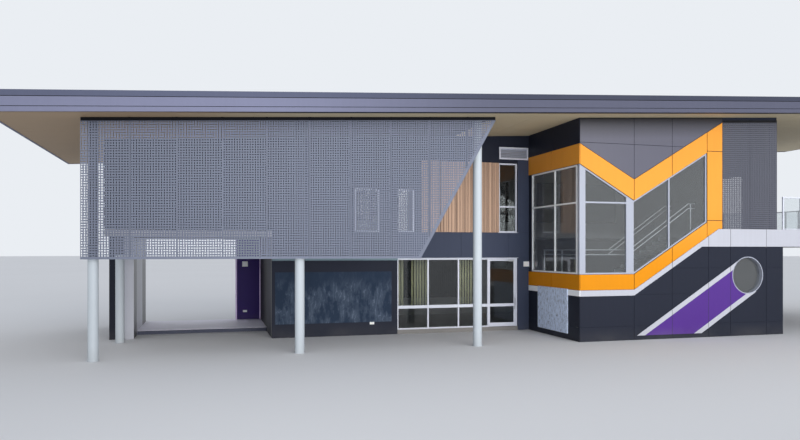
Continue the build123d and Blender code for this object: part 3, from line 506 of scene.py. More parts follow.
def plain_finish(name, other=None, regions=(), third=None, third_regions=()):
    """Painted or cast finish, with other colours in some regions."""
    paint, rough, patches, streaks, grain, scale, dust, metal, coat, gloss, depth = PLAIN[name]
    material, tree, surface = new_material(name)
    base = colour(paint)
    for tone, where in ((other, regions), (third, third_regions)):
        if tone:
            base = mixed(tree, region_mask(tree, where), base, colour(tone))
    finish_with(tree, surface, weathered(tree, base, rough, patches, streaks, grain, scale, dust), depth)
    feed(tree, surface, {"Metallic": metal, "Specular IOR Level": gloss})
    feed(tree, surface, {"Coat Weight": coat, "Coat Roughness": 0.25})
    return material


def timber_finish():
    """Oiled boards."""
    material, tree, surface = new_material("timber boards")
    made = placed(tree, wood_grain(), {"Color": colour("timber"), "Board": sizes().board_width})
    finish_with(tree, surface, made, 0.002)
    return material


def glass_finish(name, tint, clear):
    """Window glass: mostly see-through, with a tint and a sharp reflection."""
    material, tree, surface = new_material(name)
    waves = noise(tree, places(tree, (1, 1, 0.6)), 0.7, 2.0, 0.5)
    shaded = mixed(tree, waves, (*[c * 0.92 for c in tint], 1), (*tint, 1))
    feed(tree, surface, {"Base Color": shaded, "Normal": raised(tree, waves, 0.08, 0.02)})
    feed(tree, surface, {"Roughness": 0.02, "IOR": 1.52, "Transmission Weight": clear})
    return material


def board_finish(name, base, mark, size, strength, rough, strokes=1.0, clean_top=None):
    """Dark or speckled board with marks rubbed over it, fading out below a clean top."""
    material, tree, surface = new_material(name)
    mask = placed(tree, marks(), {"Size": size, "Strength": strength, "Strokes": strokes})["Mask"]
    if clean_top:
        fade = ramp(tree, height_of(tree), clean_top - 0.7, clean_top, 1.0, 0.12, True)
        mask = maths(tree, "MULTIPLY", mask, fade)
    marked = mixed(tree, mask, opaque(*base), opaque(*mark))
    finish_with(tree, surface, weathered(tree, marked, rough, 0.25, 0.05, 0.12, 45, 0.1), 0.001)
    feed(tree, surface, {"Specular IOR Level": 0.15})
    return material


def steel_finish():
    """Brushed steel with the brushing along x."""
    material, tree, surface = new_material("brushed steel")
    brushed = noise(tree, places(tree, (2, 60, 60)), 8.0, 4.0, 0.6)
    tone = mixed(tree, brushed, (0.42, 0.43, 0.45, 1), (0.62, 0.63, 0.65, 1))
    rough = ramp(tree, brushed, 0.2, 0.8, 0.24, 0.42)
    feed(tree, surface, {"Base Color": tone, "Roughness": rough, "Metallic": 1.0})
    feed(tree, surface, {"Normal": raised(tree, brushed, 0.1, 0.0005)})
    return material


def floor_finish():
    """Inside floor: speckled sheet above, plaster ceiling below, and pale concrete in the passage, made paler
    than the floor inside as painted light against the passage's shade.
    """
    material, tree, surface = new_material("floor and ceiling")
    height = height_of(tree)
    above = region_mask(tree, [[(UP, UPPER - 0.005)]])
    low = maths(tree, "LESS_THAN", height, FLOOR + 0.05)
    base = mixed(tree, maths(tree, "MAXIMUM", above, low), colour("plaster"), opaque(120, 118, 116))
    passage = region_mask(tree, [[short_of(TO_RIGHT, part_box("chalk_wall")[0].x)]])
    # Painted light: the passage floor is much paler, to make up for the passage's shade.
    base = mixed(tree, maths(tree, "MULTIPLY", passage, low), base, opaque(238, 236, 250))
    edge = maths(tree, "LESS_THAN", height, FLOOR - 0.01)
    base = mixed(tree, maths(tree, "MULTIPLY", passage, edge), base, opaque(62, 66, 84))
    finish_with(tree, surface, weathered(tree, base, 0.6, 0.12, 0.0, 0.2, 70, 0.0), 0.0008)
    return material


def lamp_finish():
    """Milky plastic of a lamp's cover."""
    material, tree, surface = new_material("lamp cover")
    cloudy = noise(tree, places(tree), 14.0, 2.0)
    tone = mixed(tree, cloudy, (0.72, 0.72, 0.7, 1), (0.86, 0.86, 0.84, 1))
    rough = ramp(tree, cloudy, 0, 1, 0.25, 0.4)
    feed(tree, surface, {"Base Color": tone, "Roughness": rough, "Subsurface Weight": 0.2})
    return material


def carried(material, other, arrow, low, high, most=1.0, smooth=True):
    """Let a finish go over into another colour between two distances along an arrow."""
    tree = material.node_tree
    group = next(n for n in tree.nodes if n.type == "GROUP" and "Patches" in n.inputs)
    joined = group.inputs["Color"].links
    base = joined[0].from_socket if joined else tuple(group.inputs["Color"].default_value)
    share = ramp(tree, distance_along(tree, arrow), low, high, 0.0, most, smooth)
    tree.links.new(mixed(tree, share, base, other), group.inputs["Color"])
    return material


# A region is a list of lines, each an arrow and the distance past which the region lies
TO_RIGHT, TO_BACK, UP = (1, 0, 0), (0, 1, 0), (0, 0, 1)
ROOF_UP = (-SLOPE, 0, 1)


def short_of(arrow, distance):
    """Line that bounds what lies nearer along an arrow than a distance."""
    return tuple(-part for part in arrow), -distance


def seam_lines(places_along, width=0.016):
    """Regions of narrow upright joints at some places along x."""
    return [[(TO_RIGHT, x - width / 2), short_of(TO_RIGHT, x + width / 2)] for x in places_along]


def wall_finishes():
    """Walls with sheets outside, and plaster inside from the wall's middle on."""
    middle, skin, lined = 0.125, 0.03, 2.44
    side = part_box("passage_right_wall")[0].x
    upper_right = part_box("bay_screen")[1].x - middle
    behind_bay = (TO_BACK, BAY_WALL + skin)
    behind_front = (TO_BACK, RECESS + skin)
    before_back = short_of(TO_BACK, BLOCK_BACK - skin)
    front = [[(TO_BACK, RECESS + middle)]]
    inside = {
        "front wall": front,
        "bay wall": [[(TO_BACK, BAY_WALL + middle)]],
        "return wall": [[(TO_RIGHT, BAY_LEFT + middle), behind_bay]],
        "right wall": [
            [short_of(TO_RIGHT, BAY_RIGHT - middle), short_of(UP, UPPER), behind_bay, before_back],
            [short_of(TO_RIGHT, upper_right), behind_bay, before_back],
        ],
        "back wall": [[short_of(TO_BACK, BLOCK_BACK - middle)]],
        "left wall": [[(TO_RIGHT, END_LEFT + middle), behind_front, before_back]],
    }
    made = {name: plain_finish("charcoal sheet", "plaster", regions) for name, regions in inside.items()}
    plastered = [[(TO_RIGHT, side + middle), behind_front, before_back]]
    # Painted shade: the passage side of the wall, deeper than 2.44 m behind the recess, takes the near-black
    # gasket colour, standing in for a shadowed gap.
    dark = [[(TO_BACK, RECESS + lined), short_of(TO_RIGHT, side + 0.01)]]
    made["passage wall"] = plain_finish("charcoal sheet", "plaster", plastered, "gasket", dark)
    made["slate wall"] = plain_finish("slate sheet", "plaster", front)
    return made


def bay_finishes():
    """Bands, sheets, side frame and metal of the stair bay, with painted shade under the roof, a painted
    sheen on the band and painted light on the bay's left side.
    """
    shade, strip, screen_top_shade = 0.8, 0.05, 0.215
    seams = seam_lines(BAY_JOINTS[1:5])
    lining = SOFFIT_LOW.z - SLOPE * SOFFIT_LOW.x
    frame_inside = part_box("bay_return_frame")[0].x + 0.055
    bay_side_painted_light = [[short_of(TO_RIGHT, BAY_LEFT + 0.004)]]
    orange = plain_finish("orange sheet")
    # Painted shade: a near-black strip along the grey sheets' top, under the roof.
    grey = plain_finish("grey sheet", "gasket", [[(ROOF_UP, lining - strip)]])
    return {
        # Painted sheen: the orange goes over to the lighter orange from the window's foot up to the fold's
        # foot.
        "orange sheet": carried(orange, colour("orange_painted_sheen"), UP, WINDOW_FOOT, FOLD_FOOT),
        "return frame": plain_finish("return frame", "gasket", [[(TO_RIGHT, frame_inside)]]),
        # Painted shade: the grey sheets go almost black over the last 0.8 m under the roof.
        "grey sheet": carried(grey, BLACK, ROOF_UP, lining - shade, lining, 0.95, False),
        # Painted shade: the bay screen's top 0.215 m takes the near-black gasket colour.
        "bay screen metal": plain_finish("bay screen metal", "gasket", [[(ROOF_UP, lining - screen_top_shade)]]),
        "purple sheet": plain_finish("purple sheet", "gasket", seams),
        # Painted light: the white strip's part on the bay's left side takes the lighter white.
        "white sheet": plain_finish("white sheet", "gasket", seams, "side_white_painted_light", bay_side_painted_light),
    }


def roof_finishes():
    """Roof edge with its grooves, lining under the roof, and columns, with painted shade on the lining behind
    the screen, along its edges and at its left end, on the roof edge's right end, and on the columns behind
    the screen.
    """
    low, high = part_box("soffit_lining")
    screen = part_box("screen_panels")
    # vent is the width of the near-black strips along the lining's front and back edges: painted shade
    # standing in for the shadowed gap behind the roof edge.
    vent, groove_drop = 0.21, 0.284
    eave_shade = [[short_of(TO_BACK, low.y + vent)], [(TO_BACK, high.y - vent)]]
    # Painted shade: the lining behind the long screen takes the charcoal colour.
    behind_screen_shade = [[(TO_RIGHT, screen[0].x), short_of(TO_RIGHT, screen[1].x), (TO_BACK, screen[1].y)]]
    lining = plain_finish("soffit sheet", "gasket", eave_shade, "charcoal", behind_screen_shade)
    lines = (CAPPING_LINE, CAPPING_LINE - groove_drop)
    grooves = [[(ROOF_UP, line - 0.012), short_of(ROOF_UP, line + 0.006)] for line in lines]
    metal = plain_finish("fascia metal", "capping", [[(ROOF_UP, CAPPING_LINE)]], "gasket", grooves)
    behind_screen_painted_shade = [[(UP, screen[0].z + 0.02), short_of(TO_RIGHT, screen[1].x - 3.0)]]
    return {
        # Painted shade: the lining goes over to the browner soffit towards the roof's left end, x from -10 to
        # -16.
        "soffit sheet": carried(lining, colour("soffit_painted_shade"), (-1, 0, 0), 10.0, 16.0, 0.9),
        # Painted shade: the roof edge darkens to about half its colour towards its right end, x from -13 to
        # -3.
        "fascia metal": carried(metal, BLACK, TO_RIGHT, -13.0, -3.0, 0.52),
        # Painted shade: the columns behind the screen, above its foot, take the charcoal colour.
        "column paint": plain_finish("column paint", "charcoal", behind_screen_painted_shade),
    }


def lining_finish():
    """Pale lining of the passage, with painted shade in two near-black bands on its inner side, near its
    front and its back.
    """
    low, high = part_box("passage_lining")
    inner_side = (TO_RIGHT, high.x - 0.01)
    # Painted shade near the front and the back of the inner side.
    front_shade = [inner_side, (TO_BACK, low.y + 0.02), short_of(TO_BACK, low.y + 1.1)]
    back_shade = [inner_side, (TO_BACK, high.y - 1.6)]
    return plain_finish("white sheet", "gasket", [front_shade, back_shade])


# Rows of PLAIN that the functions above finish with other colours
MADE_APART = ["orange sheet", "purple sheet", "white sheet", "grey sheet", "return frame"]
MADE_APART += ["fascia metal", "soffit sheet", "bay screen metal", "column paint"]


def all_finishes():
    """Every finish by its name, the bare rows of PLAIN first, because walls start from them."""
    made = {name: plain_finish(name) for name in PLAIN if name not in MADE_APART}
    made |= wall_finishes()
    made |= bay_finishes()
    made |= roof_finishes()
    chalk_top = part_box("chalkboard")[1].z - 0.1
    return made | {
        "lining": lining_finish(),
        "timber boards": timber_finish(),
        "window glass": glass_finish("window glass", (0.86, 0.90, 0.92), 0.94),
        "clear glass": glass_finish("clear glass", (0.80, 0.85, 0.86), 0.995),
        "chalkboard paint": board_finish(
            "chalkboard paint", (41, 53, 71), (136, 150, 170), 1.5, 0.85, 0.9, 0.45, chalk_top
        ),
        "notice board": board_finish("notice board", (212, 226, 250), (60, 66, 86), 6.0, 1.3, 0.5),
        "brushed steel": steel_finish(),
        "floor": floor_finish(),
        "lamp": lamp_finish(),
    }


FINISH_OF = {
    "charcoal sheet": ["left_lower_wall"],
    "black gasket": ["screen_beam"],
    "head strip paint": ["head_strip"],
    "slate wall": ["spandrel_wall", "door_side_wall"],
    "front wall": ["chalk_wall", "upper_front_wall"],
    "bay wall": ["bay_front_wall"],
    "return wall": ["bay_return_wall"],
    "right wall": ["right_wall"],
    "back wall": ["back_wall"],
    "left wall": ["left_upper_wall"],
    "passage wall": ["passage_right_wall"],
    "grey sheet": ["grey_cladding"],
    "orange sheet": ["orange_band"],
    "purple sheet": ["purple_band"],
    "purple paint": ["purple_wall"],
    "lining": ["passage_lining"],
    "white sheet": ["white_band", "purple_band_edges"],
    "frame paint": ["classroom_frame", "door_frame", "classroom_door", "upper_window_frames"]
    + ["back_window_frames", "louvre_vent", "deck_balustrade"],
    "return frame": ["bay_return_frame"],
    "bay frame": ["bay_front_frame", "round_window_ring"],
    "soffit sheet": ["soffit_lining"],
    "fascia metal": ["fascia_front", "fascia_back", "fascia_left", "fascia_right", "roof_sheeting"],
    "screen metal": ["screen_panels", "screen_frame"],
    "bay screen metal": ["bay_screen"],
    "cast concrete": ["deck_slab", "passage_beams"],
    "floor": ["ground_floor", "first_floor", "half_landing", "stair_treads"],
    "column paint": ["columns", "stair_stringers"],
    "timber boards": ["timber_cladding"],
    "window glass": ["bay_glass", "balustrade_glass"],
    "clear glass": ["window_glass", "door_glass"],
    "chalkboard paint": ["chalkboard"],
    "notice board": ["notice_board"],
    "brushed steel": ["stair_rails", "door_handle"],
    "lamp": ["wall_lights", "wall_sockets"],
}


# Shapes


def scene_object(name, data):
    """Object of some data, put into the scene."""
    made = bpy.data.objects.new(name, data)
    bpy.context.scene.collection.objects.link(made)
    return made


def add_piece(name, parts, finish, body=BODY, replaced=(), smooth=False):
    """Piece gathered from shapes, riding on a body with its finish."""
    points, faces = gather(parts)
    mesh = bpy.data.meshes.new(name)
    mesh.from_pydata(points.tolist(), [], faces)
    mesh.validate()
    mesh.polygons.foreach_set("use_smooth", [smooth] * len(mesh.polygons))
    mesh.materials.append(bpy.data.materials[finish])
    mesh.update()
    piece = scene_object(name, mesh)
    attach(piece, body)
    if replaced:
        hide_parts(*replaced)
    return piece


def gather(parts):
    """Points and faces of several shapes as one."""
    points, faces, start = [], [], 0
    for some_points, some_faces in parts:
        points.append(some_points)
        faces += [[corner + start for corner in face] for face in some_faces]
        start += len(some_points)
    return np.concatenate(points), faces


SAME_PLACE = 1e-4


def box_outline(x0, x1, z0, z1):
    """Rectangle's corners, counter-clockwise."""
    return np.array([(x0, z0), (x1, z0), (x1, z1), (x0, z1)], float)


def drawn_in(outline, distance):
    """Outline moved inwards: each corner goes along the mean of its two edges' inner normals."""
    edges = np.roll(outline, -1, 0) - outline
    edges /= np.linalg.norm(edges, axis=1)[:, None]
    inner = np.stack([-edges[:, 1], edges[:, 0]], 1)
    before = np.roll(inner, 1, 0)
    share = 1 + (inner * before).sum(1)
    return outline + distance * (inner + before) / share[:, None]


def clipped(outline, point, normal):
    """Part of a convex outline on the side of a line that the normal points to.

    A corner stays where its distance from the line is positive, and an edge whose
    ends have distances of unlike sign gets a corner at the share a / (a - b) along it.
    """
    distance = (outline - point) @ np.asarray(normal, float)
    after = np.roll(distance, -1)
    crossing = distance * after < 0
    share = distance / np.where(crossing, distance - after, 1.0)
    cuts = outline + share[:, None] * (np.roll(outline, -1, 0) - outline)
    both = np.stack([outline, cuts], 1).reshape(-1, 2)
    kept = both[np.stack([distance >= 0, crossing], 1).ravel()]
    return kept[np.linalg.norm(np.roll(kept, -1, 0) - kept, axis=1) > SAME_PLACE]


FRONT = np.array([(1, 0, 0), (0, 0, 1), (0, -1, 0)], float)
LEFT = np.array([(0, -1, 0), (0, 0, 1), (-1, 0, 0)], float)
UNDER = np.array(
    [(math.cos(PITCH), 0, math.sin(PITCH)), (0, -1, 0), (math.sin(PITCH), 0, -math.cos(PITCH))]
)


def at_heights(rings):
    """Points of some outlines, each carried to its height."""
    return np.concatenate([np.column_stack([ring, np.full(len(ring), height)]) for ring, height in rings])


def bands(rings, count, closed=False):
    """Quads from each ring of points to the next, and from the last to the first where closed."""
    start = np.arange(count)
    after = np.roll(start, -1)
    faces = []
    for ring in range(rings if closed else rings - 1):
        low, high = ring * count, (ring + 1) % rings * count
        faces += np.stack([start + low, after + low, after + high, start + high], 1).tolist()
    return faces


def capped(rings, count):
    """Faces of a solid whose rings climb: its two ends, then the bands between the rings."""
    start = np.arange(count)
    return [start[::-1].tolist(), (start + (rings - 1) * count).tolist()] + bands(rings, count)


def plate(outline, origin, axes, depth, chamfer=0.002):
    """Flat plate: the outline carried out by its depth, with a chamfered rim.

    Points are origin + a * first axis + b * second axis + height * third axis, for
    heights 0, depth - chamfer and depth, the last with the outline drawn in.
    """
    flat = at_heights([(outline, 0.0), (outline, depth - chamfer), (drawn_in(outline, chamfer), depth)])
    return np.asarray(origin, float) + flat @ axes, capped(3, len(outline))


def rim(outline, width, origin, axes, depth):
    """Border of a panel: a square bar of width and depth that follows the outline."""
    inner = drawn_in(outline, width)
    flat = at_heights([(outline, 0.0), (outline, depth), (inner, depth), (inner, 0.0)])
    return np.asarray(origin, float) + flat @ axes, bands(4, len(outline), True)


def slotted(x0, x1, foot, y, seed, cut=None, fine=1.0):
    """Perforated sheet between two uprights, over a level foot and under the sloping ceiling.

    Grid point (i, j) stands at x0 + i / columns * (x1 - x0) and foot + j / rows * (top(x) - foot).
    Each cell has one slot, longer across or upright by a seeded draw. A cut is a point and a
    normal: a cell stays where its corners are on that side. Front and back are joined by the
    slots' four walls.
    """
    pitch, metal = sizes().slot_pitch, sizes().screen_metal
    columns = round((x1 - x0) / pitch)
    rows = round((screen_top(x1) - foot) / pitch)
    i, j = np.meshgrid(np.arange(columns + 1), np.arange(rows + 1), indexing="ij")
    x = x0 + (x1 - x0) * i / columns
    grid = np.stack([x, foot + (screen_top(x) - foot) * j / rows], -1)
    inside = np.ones(x.shape, bool) if cut is None else (grid - cut[0]) @ cut[1] >= 0
    a, b = np.nonzero(inside[:-1, :-1] & inside[1:, :-1] & inside[1:, 1:] & inside[:-1, 1:])
    number = i * (rows + 1) + j
    corners = np.stack([number[a, b], number[a + 1, b], number[a + 1, b + 1], number[a, b + 1]], 1)
    draw = np.random.default_rng(seed).random(len(a)) < 0.5
    half = fine * np.array([sizes().slot_long, sizes().slot_short]) / 2
    half = np.where(draw[:, None], half, half[::-1])
    middle = (grid[a, b] + grid[a + 1, b + 1]) / 2
    signs = np.array([(-1, -1), (1, -1), (1, 1), (-1, 1)])
    holes = (middle[:, None, :] + signs * half[:, None, :]).reshape(-1, 2)
    flat = np.concatenate([grid.reshape(-1, 2), holes])
    total = len(flat)
    slot = x.size + np.arange(len(a) * 4).reshape(-1, 4)
    quads = []
    for k in range(4):
        n = (k + 1) % 4
        front = np.stack([corners[:, k], corners[:, n], slot[:, n], slot[:, k]], 1)
        quads += [front + total, front[:, ::-1]]
        quads.append(np.stack([slot[:, k] + total, slot[:, n] + total, slot[:, n], slot[:, k]], 1))
    points = np.concatenate(
        [np.column_stack([flat, np.zeros(total)]), np.column_stack([flat, np.full(total, metal)])]
    )
    used, faces = np.unique(np.concatenate(quads), return_inverse=True)
    return np.array([0, y + metal, 0]) + points[used] @ FRONT, faces.reshape(-1, 4).tolist()


def screen_outline(x0, x1, foot):
    """Panel between two uprights, from a level foot to the screens' sloping upper edge."""
    return np.array([(x0, foot), (x1, foot), (x1, screen_top(x1)), (x0, screen_top(x0))])


def screen_parts(outline, x0, x1, low, high, seed, cut=None, fine=1.0):
    """Folded border and perforated sheet of one screen panel."""
    border = rim(outline, sizes().screen_margin, (0, high.y, 0), FRONT, high.y - low.y - 0.001)
    return [border, slotted(x0, x1, low.z, low.y + 0.002, seed, cut, fine)]


def tube(path, radius, sides=10):
    """Round bar along a straight or bent path: a circle carried along its points.

    At each point the circle stands square to the mean of the two runs that meet there,
    and its points are path + radius * (cos a * side + sin a * up). Both ends are closed.
    """
    path = np.asarray(path, float)
    runs = np.diff(path, axis=0)
    runs /= np.linalg.norm(runs, axis=1)[:, None]
    along = np.concatenate([runs[:1], runs[:-1] + runs[1:], runs[-1:]])
    along /= np.linalg.norm(along, axis=1)[:, None]
    guide = np.array([0.0, 0.0, 1.0]) if abs(along[0, 2]) < 0.9 else np.array([0.0, 1.0, 0.0])
    side = np.cross(along, guide)
    side /= np.linalg.norm(side, axis=1)[:, None]
    up = np.cross(side, along)
    turn = np.linspace(0, 2 * np.pi, sides, endpoint=False)
    ring = np.cos(turn)[None, :, None] * side[:, None, :] + np.sin(turn)[None, :, None] * up[:, None, :]
    points = (path[:, None, :] + radius * ring).reshape(-1, 3)
    k = np.arange(sides)
    faces = [k.tolist(), ((len(path) - 1) * sides + k[::-1]).tolist()]
    for row in range(len(path) - 1):
        low, high = row * sides, (row + 1) * sides
        n = (k + 1) % sides
        faces += np.stack([low + k, high + k, high + n, low + n], 1).tolist()
    return points, faces


def block(low, high, chamfer=0.003):
    """Small box between two corners, with its upper and lower rims chamfered.

    Four rings climb: the foot drawn in, the foot, the top and the top drawn in.
    """
    x0, y0, z0 = low
    x1, y1, z1 = high
    outline = box_outline(x0, x1, y0, y1)
    tight = drawn_in(outline, chamfer)
    rings = [(tight, z0), (outline, z0 + chamfer), (outline, z1 - chamfer), (tight, z1)]
    return at_heights(rings), capped(4, 4)


def sheet_grid(uprights, levels, cuts=()):
    """Sheets between upright joints and level joints, each clipped by lines.

    levels holds, for each column, the heights of its joints with its two ends.
    A cut is a point and the normal of the side that stays.
    """
    gap = sizes().sheet_gap / 2
    found = []
    for column, heights in enumerate(levels):
        for low, high in zip(heights[:-1], heights[1:]):
            outline = box_outline(uprights[column] + gap, uprights[column + 1] - gap, low + gap, high - gap)
            for point, normal in cuts:
                if len(outline) > 2:
                    outline = clipped(outline, np.asarray(point, float), normal)
            if len(outline) > 2 and np.ptp(outline, 0).min() > 4 * gap:
                found.append(outline)
    return found


# Operators


class SchoolOperator(bpy.types.Operator):
    """Base of this file's operators."""

    bl_options = {"REGISTER", "UNDO"}


class SCHOOL_OT_finishes(SchoolOperator):
    """Make every finish and give the CAD nodes theirs"""

    bl_idname = "school.finishes"
    bl_label = "Finishes"

    def execute(self, context):
        for key, material in all_finishes().items():
            material.name = key
            if material.name != key:
                raise RuntimeError(f"another material is called {key}")
        given = set()
        for finish, names in FINISH_OF.items():
            for name in names:
                if name in NODES:
                    mesh = NODES[name].data
                    mesh.materials.clear()
                    mesh.materials.append(bpy.data.materials[finish])
                    given.add(name)
        missing = sorted(set(NODES) - given)
        if missing:
            raise RuntimeError(f"no finish for {missing}")
        return {"FINISHED"}


class SCHOOL_OT_screen(SchoolOperator):
    """Make the long perforated screen, panel by panel"""

    bl_idname = "school.screen"
    bl_label = "Front screen"

    def execute(self, context):
        low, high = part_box("screen_panels")
        joint, foot_length, set_over = 0.005, 10.574, 0.034
        behind, metal, chamfer = 0.012, 0.006, 0.001
        corner = np.array([low.x + foot_length + set_over, low.z])
        along = np.array([high.x, high.z]) - corner
        across = np.array([-along[1], along[0]]) / np.linalg.norm(along)
        for index in range(math.ceil((high.x - low.x) / SEAM)):
            x0 = low.x + index * SEAM
            x1 = min(x0 + SEAM - joint, high.x)
            outline = clipped(screen_outline(x0, x1, low.z), corner, across)
            cut = (corner + across * sizes().screen_margin, across)
            parts = screen_parts(outline, x0, x1, low, high, sizes().slot_seed + index, cut)
            strip = clipped(outline, corner + across * sizes().screen_border, -across)
            if len(strip) > 2:
                parts.append(plate(strip, (0, low.y + behind, 0), FRONT, metal, chamfer))
            name = f"screen_panel_{index + 1}"
            add_piece(name, parts, "screen metal", replaced=["screen_panels"])
        return {"FINISHED"}


class SCHOOL_OT_bay_screen(SchoolOperator):
    """Make the two perforated panels of the stair bay"""

    bl_idname = "school.bay_screen"
    bl_label = "Bay screen"

    def execute(self, context):
        low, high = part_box("bay_screen")
        middle, joint = (low.x + high.x) / 2, 0.004
        parts = []
        for seed, x0, x1 in ((1, low.x, middle - joint), (3, middle + joint, high.x)):
            outline = screen_outline(x0, x1, low.z)
            parts += screen_parts(outline, x0, x1, low, high, seed, fine=sizes().bay_slots)
        add_piece("bay_screen_sheet", parts, "bay screen metal", replaced=["bay_screen"])
        return {"FINISHED"}


class SCHOOL_OT_timber(SchoolOperator):
    """Make the upright timber boards beside the upper window"""

    bl_idname = "school.timber"
    bl_label = "Timber boards"

    def execute(self, context):
        low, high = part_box("timber_cladding")
        wide, gap = sizes().board_width, sizes().board_gap
        narrow, set_back, least = 0.62, 0.009, 0.02
        parts = []
        x, index = low.x, 0
        while x < high.x - least:
            width = wide if index % 3 else wide * narrow
            end = min(x + width, high.x)
            proud = high.y - low.y - (0.0 if index % 3 else set_back)
            outline = box_outline(x + gap / 2, end - gap / 2, low.z, high.z)
            parts.append(plate(outline, (0, high.y, 0), FRONT, proud, 0.003))
            x, index = end, index + 1
        add_piece("timber_boards", parts, "timber boards", replaced=["timber_cladding"])
        return {"FINISHED"}


class SCHOOL_OT_bay_sheets(SchoolOperator):
    """Make the cladding sheets of the stair bay"""

    bl_idname = "school.bay_sheets"
    bl_label = "Bay sheets"

    def execute(self, context):
        self.lower_sheets()
        self.upper_sheets()
        self.return_sheets()
        return {"FINISHED"}

    def lower_sheets(self):
        """Charcoal sheets under the white strip, round the round window."""
        joints = [BAY_LEFT, *BAY_JOINTS, BAY_RIGHT]
        low, mid, high = LOW_JOINT, FLOOR + 1.530, FLOOR + 2.510
        top = SLAB_FOOT + LAP
        levels = [
            [GROUND, low, STRIP_FOOT + LAP],
            [GROUND, low, mid, top],
            [GROUND, low, mid, high, top],
            *[[GROUND, low, high, top]] * 3,
        ]
        cut = [((FOLD, STRIP_FOOT + LAP), (LOW_RISE, -1))]
        sheets = sheet_grid(joints[:2], levels[:1]) + sheet_grid(joints[1:], levels[1:], cut)
        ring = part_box("round_window_ring")
        middle = np.array([(ring[0].x + ring[1].x) / 2, (ring[0].z + ring[1].z) / 2])
        radius = (ring[1].x - ring[0].x) / 2 - 0.012
        parts = []
        for outline in sheets:
            bitten = self.around(outline, middle, radius)
            parts.append(plate(bitten, (0, BAY_WALL, 0), FRONT, sizes().sheet_metal))
        add_piece("bay_lower_sheets", parts, "charcoal sheet")

    def around(self, outline, middle, radius):
        """Outline with a bite of a circle taken from its upper or lower edge, where they meet."""
        low, high = outline.min(0), outline.max(0)
        if len(outline) != 4 or not low[0] < middle[0] < high[0]:
            return outline
        for edge, other, sense in ((low[1], high[1], 1), (high[1], low[1], -1)):
            reach = radius**2 - (edge - middle[1]) ** 2
            if reach <= 0 or (other - middle[1]) * sense < radius:
                continue
            start = math.atan2(edge - middle[1], -math.sqrt(reach))
            end = math.atan2(edge - middle[1], math.sqrt(reach))
            if sense > 0:
                start, end = (start, end) if start > end else (start + 2 * math.pi, end)
            else:
                start, end = (start - 2 * math.pi, end) if start > end else (start, end)
            turn = np.linspace(start, end, 40)
            arc = middle + radius * np.stack([np.cos(turn), np.sin(turn)], 1)
            if sense > 0:
                return np.concatenate([[low], arc, [(high[0], low[1]), high, (low[0], high[1])]])
            return np.concatenate([[(high[0], low[1]), high], arc[::-1], [(low[0], high[1]), low]])
        return outline

    def upper_sheets(self):
        """Grey sheets over the folded band."""
        gap = sizes().sheet_gap / 2
        joints = [BAY_LEFT, FOLD, BAY_JOINTS[1], LEG_RIGHT]
        joint = FLOOR + 7.135
        top = soffit(LEG_RIGHT)
        levels = [[FOLD_TOP - 0.3, joint, top]] * 3
        fall = (CORNER_TOP - FOLD_TOP) / (FOLD - BAY_LEFT)
        left = sheet_grid(joints[:2], levels[:1], [((BAY_LEFT, CORNER_TOP + gap), (fall, 1))])
        right = sheet_grid(joints[1:], levels[1:], [((FOLD, FOLD_TOP + gap), (-HIGH_RISE, 1))])
        roof = np.array([BAY_LEFT, soffit(BAY_LEFT)])
        parts = []
        for outline in left + right:
            outline = clipped(outline, roof, (SLOPE, -1))
            parts.append(plate(outline, (0, BAY_WALL, 0), FRONT, BAY_WALL - BAY_FRONT - 0.004))
        add_piece("bay_upper_sheets", parts, "grey sheet", replaced=["grey_cladding"])

    def return_sheets(self):
        """Charcoal sheets on the bay's left side, in (-y, z)."""
        joint, short = 2.18, 0.004
        ends = [-RECESS, -RECESS + joint, -BAY_FRONT - short]
        parts = []
        for low, high in ((GROUND, STRIP_FOOT + LAP), (CORNER_TOP - LAP, soffit(BAY_LEFT))):
            split = [low, LOW_JOINT, high] if low == GROUND else [low, high]
            for outline in sheet_grid(ends, [split] * 2):
                parts.append(plate(outline, (BAY_LEFT, 0, 0), LEFT, sizes().sheet_metal))
        add_piece("bay_return_sheets", parts, "charcoal sheet")


